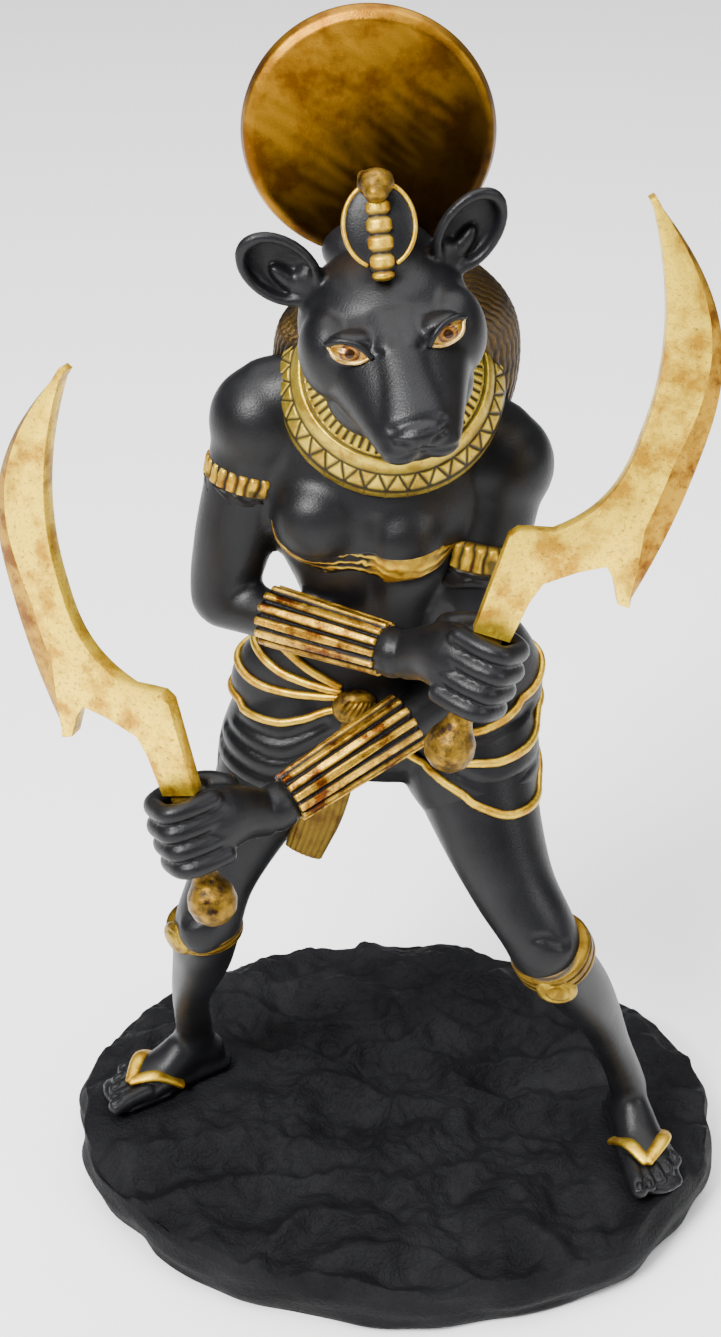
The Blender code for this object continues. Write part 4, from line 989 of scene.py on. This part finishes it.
def makeCuff(side):
    start, end = pose["elbow"][side], pose["wrist"][side]
    along = (end - start).normalized()
    across = along.orthogonal().normalized()
    deep = along.cross(across)
    c = cuffShape

    def spot(u, v):
        # v runs over the end, along the cuff and over the other end
        if v < 0.12:
            share, inset = 0.0, 1.8 * (1 - v / 0.12)
        elif v > 0.88:
            share, inset = 1.0, 1.8 * (v - 0.88) / 0.12
        else:
            share, inset = (v - 0.12) / 0.76, 0.0
        phase = abs((u * c["flutes"]) % 1 - 0.5) * 2
        groove = stroke(max(0.0, 1 - phase), c["cut"] + 0.12 * math.sin(5 * share + 7 * u)) if inset < 0.4 else 0.6
        radius = c["startRadius"] + (c["endRadius"] - c["startRadius"]) * share - 0.65 * groove - inset
        point = start.lerp(end, c["start"][side] + (c["end"][side] - c["start"][side]) * share)
        a = 2 * math.pi * u
        return point + radius * (math.cos(a) * across + math.sin(a) * deep), min(1.0, 1.6 * groove)

    return wrap(260, 48, spot, closedAcross=True, marks=("groove",))


armletShape = {"share": onSide(0.27, 0.36), "radius": onSide(6.15, 6.9),
              "shift": onSide((0, 0, 0), (-0.6, -0.3, 0)), "thick": 0.75, "half": onSide(1.8, 2.3), "pleats": 24,
               "tail": 3.0}


def makeArmlet(side):
    # pleated gold above, crumpled dark cloth below
    shoulder, elbow = pose["shoulder"][side], pose["elbow"][side]
    axis = (elbow - shoulder).normalized()
    across = axis.orthogonal().normalized()
    deep = axis.cross(across)
    c = armletShape
    centre = shoulder.lerp(elbow, c["share"][side]) + Vector(c["shift"][side])
    half, tail = c["half"][side], c["tail"]

    def spot(u, v):
        a = 2 * math.pi * u
        out = math.cos(a) * across + math.sin(a) * deep
        if v < 0.6:
            h = v / 0.3 - 1
            crook = 0.25 * noise.noise(Vector((20 * u, 1.2 * h, 3)))
            phase = abs((u * c["pleats"] + crook) % 1 - 0.5) * 2
            groove = max(stroke(max(0.0, 1 - phase), 0.55), stroke(1 - abs(h), 0.22))
            high = c["thick"] * (1 - 0.8 * h ** 8) * (1 - 0.7 * groove)
            groove = max(groove, min(0.9, 1.8 * noise.noise(Vector((3 * out.x, 3 * out.y, 3 * out.z + h))) + 0.15 * h))
            down = half * h
        else:
            t = (v - 0.6) / 0.4
            lump = noise.noise(1.1 * (4 * out + Vector((0, 0, 3 * t))) + Vector((2, 5, 1)))
            groove = 1.0
            high = (0.35 + 0.45 * lump) * (1 - t) ** 0.7
            down = half + tail * t * (1 + 0.25 * math.sin(3 * a + 1))
        sunk = 1.2 * (2 * abs(v - 0.5)) ** 14
        return centre + down * axis + (c["radius"][side] + high - sunk - 0.035 * max(0.0, down)) * out, groove

    return wrap(240, 48, spot, closedAcross=True, marks=("groove",))


for side in sides:
    finish(makeCuff(side), f"cuff{side}", cuffGold)
    finish(makeArmlet(side), f"armlet{side}", markedGold)
print("cuffs and armlets")


# ---- garters and sandals

garterShape = {
    "centre": onSide((-32.3, -13.4, 48.8), (25.0, -22.5, 50.2)),
    "axis": onSide((0.04, 0.10, -1), (0.42, 0.38, -1)),
    "radius": onSide(5.7, 6.15), "thick": 0.75, "half": onSide(1.4, 2.4),
    "plate": onSide((-36.6, -16.4, 48.4), (25.4, -28.2, 47.0)),
    "plateAhead": onSide((-0.8, -0.6, 0), (0.1, -1, -0.1)), "plateRadii": (3.5, 1.5, 2.6), "plateTurn": onSide(0, 18),
}


def makeGarter(side):
    g = garterShape
    z = Vector(g["axis"][side]).normalized()
    across = z.orthogonal().normalized()
    deep = z.cross(across)

    def spot(u, v):
        h = 2 * v - 1
        groove = stroke(abs((1.5 * h + 0.25 * math.sin(4 * math.pi * u)) % 1 - 0.5) * 2 - 0.0, 0.35)
        r = g["radius"][side] + g["thick"] * (1 - h ** 6) * (1 - 0.5 * groove) - 1.4 * h ** 12
        a = 2 * math.pi * u
        return Vector(g["centre"][side]) + g["half"][side] * h * z + r * (math.cos(a) * across + math.sin(a) * deep), groove

    return wrap(200, 40, spot, closedAcross=True, marks=("groove",))


def makePlate(side):
    g = garterShape
    turn = turnTo((0, 0, 1), g["plateAhead"][side]) @ Matrix.Rotation(math.radians(g["plateTurn"][side]), 3, "Y")
    plate = ball(g["plate"][side], g["plateRadii"], turn, segments=64)
    centre = Vector(g["plate"][side])
    rim = [centre + turn @ Vector((2.5 * math.cos(a), -1.4, 1.7 * math.sin(a))) for a in (2 * math.pi * k / 16 for k in range(17))]
    carve(plate, [rim], 0.35, 0.25)
    return plate


for side in sides:
    finish(makeGarter(side), f"garter{side}", sashGold)
    finish(makePlate(side), f"garterPlate{side}", plateGold)
    ground, ahead, big = footFrame(side)
    straps = []
    for sign in (1, -1):
        straps.append(grow([(ground + 13.8 * ahead + 1.4 * big + Vector((0, 0, 4.7)), 0.7, 1.1),
                            (ground + 9.6 * ahead + sign * 3.2 * big + Vector((0, 0, 5.5)), 0.75, 1.35),
                            (ground + 5.0 * ahead + sign * 4.2 * big + Vector((0, 0, 2.4)), 0.7, 1.3)],
                           side=(0, 0, 1), steps=8, around=20))
    finish(join(straps), f"sandalStraps{side}", gold)
print("garters and sandals")


# ---- sun disc and cobra

discShape = {"centre": Vector((-5.2, -12.0, 182.0)), "radius": 17.52, "half": 2.1, "lean": 1.0}


def discSpot(u, v):
    c = discShape
    lean = math.radians(c["lean"])
    normal = Vector((0, -math.cos(lean), -math.sin(lean)))
    up = Vector((0, -math.sin(lean), math.cos(lean)))
    profile = [(0.0, 0.0, 1.0), (0.40, c["radius"] - 1.6, 1.0), (0.46, c["radius"] - 0.5, 0.72), (0.50, c["radius"], 0.0),
               (0.54, c["radius"] - 0.5, -0.72), (0.60, c["radius"] - 1.6, -1.0), (1.0, 0.0, -1.0)]
    for (v0, r0, s0), (v1, r1, s1) in zip(profile, profile[1:]):
        if v <= v1 + 1e-9:
            t = (v - v0) / (v1 - v0)
            radius, share = r0 + t * (r1 - r0), s0 + t * (s1 - s0)
            break
    a = 2 * math.pi * u
    # painted light: brighter towards the upper left of the front, a painted highlight along the rim, and painted shade
    # towards the lower right
    out = radius / c["radius"]
    lit = out * (0.8 * math.sin(a) - 0.6 * math.cos(a))
    brush = noise.noise(Vector((0.35 * radius * math.cos(a + 0.6), 1.6 * radius * math.sin(a + 0.6), 0)) * 0.5)
    dark = 0.80 - 0.50 * lit - 0.50 * max(0.0, out - 0.90) / 0.10 + 0.15 * brush
    place = c["centre"] + radius * (math.cos(a) * Vector((1, 0, 0)) + math.sin(a) * up) + share * c["half"] * normal
    return place, min(0.95, max(0.05, dark))


# the disc's groove mark holds painted light and shade, not grooves
finish(wrap(180, 90, discSpot, closedAcross=True, marks=("groove",)), "sunDisc", discGold)
finish(ball(discShape["centre"] + Vector((1.4, -1.2, -16.0)), (8.0, 5.5, 5.0)), "discFoot", black)

cobraShape = {"foot": Vector((-3.3, -29.5, 168.6)), "top": Vector((-4.4, -25.0, 180.5)), "scales": 7}


def makeCobra():
    foot, top = cobraShape["foot"], cobraShape["top"]
    axis = top - foot
    ahead = Vector((0, -1, 0))
    turn = turnTo(axis, ahead)
    middle = foot.lerp(top, 0.46)
    hood = melt(join([ball(middle, (4.9, 1.3, 5.8), turn), limb(foot + 0.02 * axis, foot.lerp(top, 0.3),
                                                              [(0, 1.9, 1.9, -0.3), (1, 2.0, 1.8, 0.2)], ahead)]), 0.25, 1)
    # the hood's gold edge, left open at the neck
    line = [middle + turn @ Vector((4.75 * math.sin(a), -0.35, 5.6 * -math.cos(a))) for a in (math.radians(d) for d in range(25, 336, 10))]
    edge = grow([(p, 0.34, 0.34) for p in line], side=ahead, steps=2, around=10)

    def scales(u, share):
        hollow = stroke(abs((share * cobraShape["scales"]) % 1 - 0.5) * 2, 0.55)
        return -0.42 * hollow, hollow

    rows = [(foot.lerp(top, share - 0.06) + forward * turn @ Vector((0, -1, 0)), wide, deep)
            for share, wide, deep, forward in ((0.0, 1.5, 1.4, 0.9), (0.4, 1.75, 1.4, 1.2), (0.8, 1.6, 1.4, 1.2), (0.95, 1.5, 1.3, 0.9))]
    belly = wrapLimb(rows, scales, 64, 120)
    head = melt(join([ball(foot.lerp(top, 0.92) + 1.3 * ahead, (2.5, 2.7, 2.0), turn),
                      ball(foot.lerp(top, 0.86) + 2.9 * ahead, (1.7, 2.0, 1.3), turn),
                      ball(foot.lerp(top, 0.98) + 1.0 * ahead + Vector((1.5, 0, 0)), (0.9, 1.2, 0.8)),
                      ball(foot.lerp(top, 0.98) + 1.0 * ahead + Vector((-1.5, 0, 0)), (0.9, 1.2, 0.8))]), 0.2, 2)
    return hood, edge, belly, head


hood, hoodEdge, belly, snakeHead = makeCobra()
finish(hood, "cobraHood", black)
finish(hoodEdge, "cobraHoodEdge", gold)
finish(belly, "cobraBelly", markedGold)
finish(snakeHead, "cobraHead", darkGold)
print("disc and cobra")


# ---- swords

swordShape = {"reach": 71.0, "thick": 2.6, "grip": 1.9, "pommel": 3.8, "belly": (0.266, 0.520), "hollow": (0.141, 0.580),
              "spur": (0.240, 0.226), "gripHalf": 0.115, "tang": 0.038, "bevel": 3.4, "edge": 0.7,
              "tangFoot": 0.080}


def swordOutline():
    c = swordShape
    spur, (belly, bellyLevel), (hollow, hollowLevel) = c["spur"], c["belly"], c["hollow"]
    points = [(-c["tang"], c["tangFoot"]), (c["tang"], c["tangFoot"]), (0.047, 0.170), (0.060, 0.217), (0.118, 0.262),
              (0.168, 0.290), (0.190, 0.268), (0.216, 0.222), (spur[0], spur[1] - 0.004)]
    edge = len(points)
    for i in range(16):
        points.append((belly - (belly - spur[0]) * (1 - i / 16) ** 2, 0.240 + (bellyLevel - 0.240) * i / 16))
    for i in range(28):
        points.append((belly * (1 - (i / 28) ** 3), bellyLevel + (0.996 - bellyLevel) * i / 28))
    edgeEnd = len(points)
    points += [(0.003, 1.0), (-0.006, 0.990)]
    for i in range(1, 28):
        share = 1 - i / 28
        points.append((hollow * (1 - share ** 2), hollowLevel + (0.990 - hollowLevel) * share))
    for i in range(17):
        share = i / 16
        points.append((hollow - 0.096 * share ** 3.2, hollowLevel - (hollowLevel - 0.326) * share))
    points += [(0.005, 0.316), (-0.022, 0.308), (-0.036, 0.290)]
    return points, edge, edgeEnd


def makeSword(side):
    c = swordShape
    flip = 1 if side == "Right" else -1
    points, edge, edgeEnd = swordOutline()
    points = [Vector((x * c["reach"], z * c["reach"])) for x, z in points]
    cutting = points[edge - 1:edgeEnd + 1]
    ridge = []
    for i, p in enumerate(cutting[1:-1], 1):
        along = (cutting[i + 1] - cutting[i - 1]).normalized()
        share = i / (len(cutting) - 1)
        ridge.append(p + c["bevel"] * min(1, 5 * share, 1.6 * (1 - share)) * Vector((-along.y, along.x)))
    flat = points[:edge] + ridge + points[edgeEnd:]
    bpy.ops.mesh.primitive_circle_add(vertices=len(flat), radius=1, fill_type="NGON")
    blade = bpy.context.object
    for vertex, p in zip(blade.data.vertices, flat):
        vertex.co = (p.x * flip, -0.5 * c["thick"], p.y)
    bpy.ops.object.mode_set(mode="EDIT")
    bpy.ops.mesh.select_all(action="DESELECT")
    bpy.ops.object.mode_set(mode="OBJECT")
    chain = set(range(edge - 1, edge + len(ridge) + 1))
    for line in blade.data.edges:
        line.select = set(line.vertices) <= chain
    bpy.ops.object.mode_set(mode="EDIT")
    bpy.ops.mesh.select_mode(type="EDGE")
    bpy.ops.mesh.extrude_region_move()
    bpy.ops.object.mode_set(mode="OBJECT")
    for vertex, p in zip(list(blade.data.vertices)[len(flat):], cutting):
        vertex.co = (p.x * flip, -0.5 * c["edge"], p.y)
    ends = (0, -1)
    for end in ends:
        blade.data.vertices[len(flat) + (0 if end == 0 else len(cutting) - 1)].co.y = -0.5 * c["thick"]
    bpy.ops.object.mode_set(mode="EDIT")
    bpy.ops.mesh.select_all(action="SELECT")
    bpy.ops.mesh.remove_doubles(threshold=1e-3)
    bpy.ops.mesh.select_all(action="DESELECT")
    bpy.ops.mesh.select_non_manifold()
    bpy.ops.mesh.extrude_region_move()
    bpy.ops.transform.resize(value=(1, 0, 1), center_override=(0, 0, 0))
    bpy.ops.mesh.select_all(action="SELECT")
    bpy.ops.mesh.normals_make_consistent(inside=False)
    bpy.ops.object.mode_set(mode="OBJECT")
    modify(blade, "MIRROR", use_axis=(False, True, False), merge_threshold=1e-3)
    pick(blade)
    bpy.ops.object.mode_set(mode="EDIT")
    bpy.ops.mesh.select_all(action="SELECT")
    bpy.ops.mesh.normals_make_consistent(inside=False)
    bpy.ops.object.mode_set(mode="OBJECT")
    modify(blade, "BEVEL", width=0.28, segments=2, limit_method="ANGLE", angle_limit=math.radians(40))
    half = c["gripHalf"] * c["reach"]
    turned = [(0, 5.0), (c["grip"], 5.0), (c["grip"], -half), (2.4, -half - 1.2), (3.5, -half - 3.0), (3.8, -half - 4.8),
              (3.3, -half - 6.6), (2.1, -half - 7.8), (0, -half - 8.2)]

    def turnedSpot(u, v):
        place = v * (len(turned) - 1)
        i = min(int(place), len(turned) - 2)
        t = place - i
        r = turned[i][0] + t * (turned[i + 1][0] - turned[i][0])
        z = turned[i][1] + t * (turned[i + 1][1] - turned[i][1])
        return (Vector((r * math.cos(2 * math.pi * u), r * math.sin(2 * math.pi * u), z)),)

    handle = wrap(48, 65, turnedSpot, closedAcross=True)
    for part, paints in ((blade, (bladeGold, shadedEdgeGold)), (handle, (darkGold,))):
        part.data.materials.clear()
        for paint in paints:
            part.data.materials.append(paint)
    # bevel faces take the darker gold, painted shade along with wear; flat faces take the blade gold
    for face in blade.data.polygons:
        face.material_index = 1 if 0.3 < abs(face.normal.y) < 0.985 else 0
    sword = join([blade, handle])
    sword.data.transform(Matrix.Translation(pose["fist"][side]) @ swordTurn(side).to_4x4())
    return sword


for side in sides:
    sword = finish(makeSword(side), f"sickleSword{side}", None, smooth=35)
    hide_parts(f"khopesh_{side.lower()}")
print("swords")


# ---- rock

rockShape = {"height": 12.7, "right": 5.3, "left": 6.8, "front": 18.5, "back": 40.3, "skew": 1.8, "trim": 0.984,
             "around": 360, "rings": 120}


def rockReach():
    ends = [pose["ankle"][s] + reach * footFrame(s)[1] for s in sides for reach in (-6.0, 19.0)]
    xs, ys = [p.x for p in ends], [p.y for p in ends]
    c = rockShape
    return min(xs) - c["right"], max(xs) + 6.4 + c["left"], min(ys) - c["front"], max(ys) + c["back"]


def rimStray(angle):
    trip = Vector((math.cos(angle), math.sin(angle), 0))
    return 0.030 * noise.noise(2.2 * trip + Vector((0, 0, 4))) + 0.014 * noise.noise(6 * trip)


def rockLevel(x, y, share):
    p = Vector((x, y, 0))
    bumps = 1.4 * noise.noise(p * 0.055) + 0.8 * noise.noise(p * 0.13 + Vector((7, 3, 1)))
    level = rockShape["height"] + bumps - 0.4 - 1.9 * (max(0.0, share - 0.72) / 0.265) ** 2
    slab = 1 - abs(noise.noise(Vector((0.05 * x, 0.085 * y, 2)) + 0.35 * noise.noise_vector(p * 0.06))) * 2
    rough = 2.8 * (slab - 0.75) + 1.2 * noise.noise(p * 0.2) + 0.7 * noise.noise(p * 0.45) + 0.25 * noise.noise(p * 1.2)
    for s in sides:
        ground, ahead, big = footFrame(s)
        away = p - ground - 6.5 * ahead
        far = math.hypot(away.dot(ahead) / 15.0, away.dot(big) / 7.2)
        mixed = min(1.0, max(0.0, (far - 1.0) / 0.45))
        level = rockShape["height"] * (1 - mixed) + min(level, rockShape["height"] + 0.6) * mixed
        rough *= mixed
    return level + min(rough, 1.4)


low = rockReach()
rockMiddle = Vector(((low[0] + low[1]) / 2, (low[2] + low[3]) / 2, 0))
rockHalf = ((low[1] - low[0]) / 2, (low[3] - low[2]) / 2)


def rockSpot(u, v):
    angle = 2 * math.pi * u

    def rim(share):
        reach = share * (1 + rimStray(angle))
        across = rockShape["trim"] * rockHalf[0] * math.cos(angle) - rockShape["skew"] * math.sin(angle)
        return rockMiddle + Vector((across * reach, 0.998 * rockHalf[1] * math.sin(angle) * reach, 0))

    if v < 0.72:
        share = 0.985 * (v / 0.72) ** 0.85
        p = rim(share)
        return (Vector((p.x, p.y, rockLevel(p.x, p.y, share))),)
    if v > 0.97:
        p = rim(0.96 * (1 - v) / 0.03)
        return (Vector((p.x, p.y, 0)),)
    t = (v - 0.72) / 0.25
    stops = [(0.0, 0.985, None), (0.25, 1.0, 0.70), (0.5, 1.005, 0.40), (0.78, 0.985, 0.14), (1.0, 0.960, 0.0)]
    top = rim(0.985)
    topLevel = rockLevel(top.x, top.y, 0.985)
    for (t0, s0, l0), (t1, s1, l1) in zip(stops, stops[1:]):
        if t <= t1 + 1e-9:
            m = (t - t0) / (t1 - t0)
            share = s0 + m * (s1 - s0)
            z0 = topLevel if l0 is None else l0 * rockShape["height"]
            z = z0 + m * (l1 * rockShape["height"] - z0)
            break
    strata = 0.014 * noise.noise(Vector((6 * math.cos(angle), 6 * math.sin(angle), 0.3 * z))) * min(1, z / 2)
    p = rim(share + strata)
    return (Vector((p.x, p.y, max(0.0, z))),)


rock = wrap(rockShape["around"], rockShape["rings"], rockSpot, closedAcross=True)
rock.data.transform(Matrix.Translation((0, 0, -soleLevel / millimetre)))
finish(rock, "rockBase", stone)
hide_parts("rock_base")
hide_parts("figure")
print("rock")


# ---- floor, light and camera

bpy.ops.object.select_all(action="DESELECT")
bpy.ops.mesh.primitive_plane_add(size=6, location=(0, 0, 0))
floor = bpy.context.object
floor.name = "floor"
floorPaint, floorNodes, floorLinks, floorShader = newPaint("pale floor")
floorShader.inputs["Base Color"].default_value = (0.9, 0.9, 0.9, 1)
floorShader.inputs["Roughness"].default_value = 0.9
floor.data.materials.append(floorPaint)

studio = {
    "world": (0.95, 0.97, 1.0, 0.18),
    "lights": [("keyLight", (-0.35, -0.50, 0.70), 0.25, 20.0), ("fillLight", (0.60, -0.40, 0.45), 0.25, 3.0),
               ("topLight", (0.0, 0.1, 1.5), 1.8, 58.0)],
    "target": (-0.0063, -0.006, 0.107), "distance": 0.344, "elevation": 30, "lens": 58.08,
}
world = bpy.data.worlds.new("studio")
bpy.context.scene.world = world
world.use_nodes = True
world.node_tree.nodes["Background"].inputs["Color"].default_value = (*studio["world"][:3], 1)
world.node_tree.nodes["Background"].inputs["Strength"].default_value = studio["world"][3]
target = Vector(studio["target"])
for name, place, size, watts in studio["lights"]:
    bpy.ops.object.light_add(type="AREA", location=place, rotation=(target - Vector(place)).to_track_quat("-Z", "Y").to_euler())
    light = bpy.context.object
    light.name = name
    light.data.size = size
    light.data.energy = watts
elevation = math.radians(studio["elevation"])
eye = target + studio["distance"] * Vector((0, -math.cos(elevation), math.sin(elevation)))
bpy.ops.object.camera_add(location=eye, rotation=(target - eye).to_track_quat("-Z", "Y").to_euler())
camera = bpy.context.object
camera.data.lens = studio["lens"]
camera.data.sensor_width = 36
camera.data.clip_start = 0.01
bpy.context.scene.camera = camera
print("stage set")
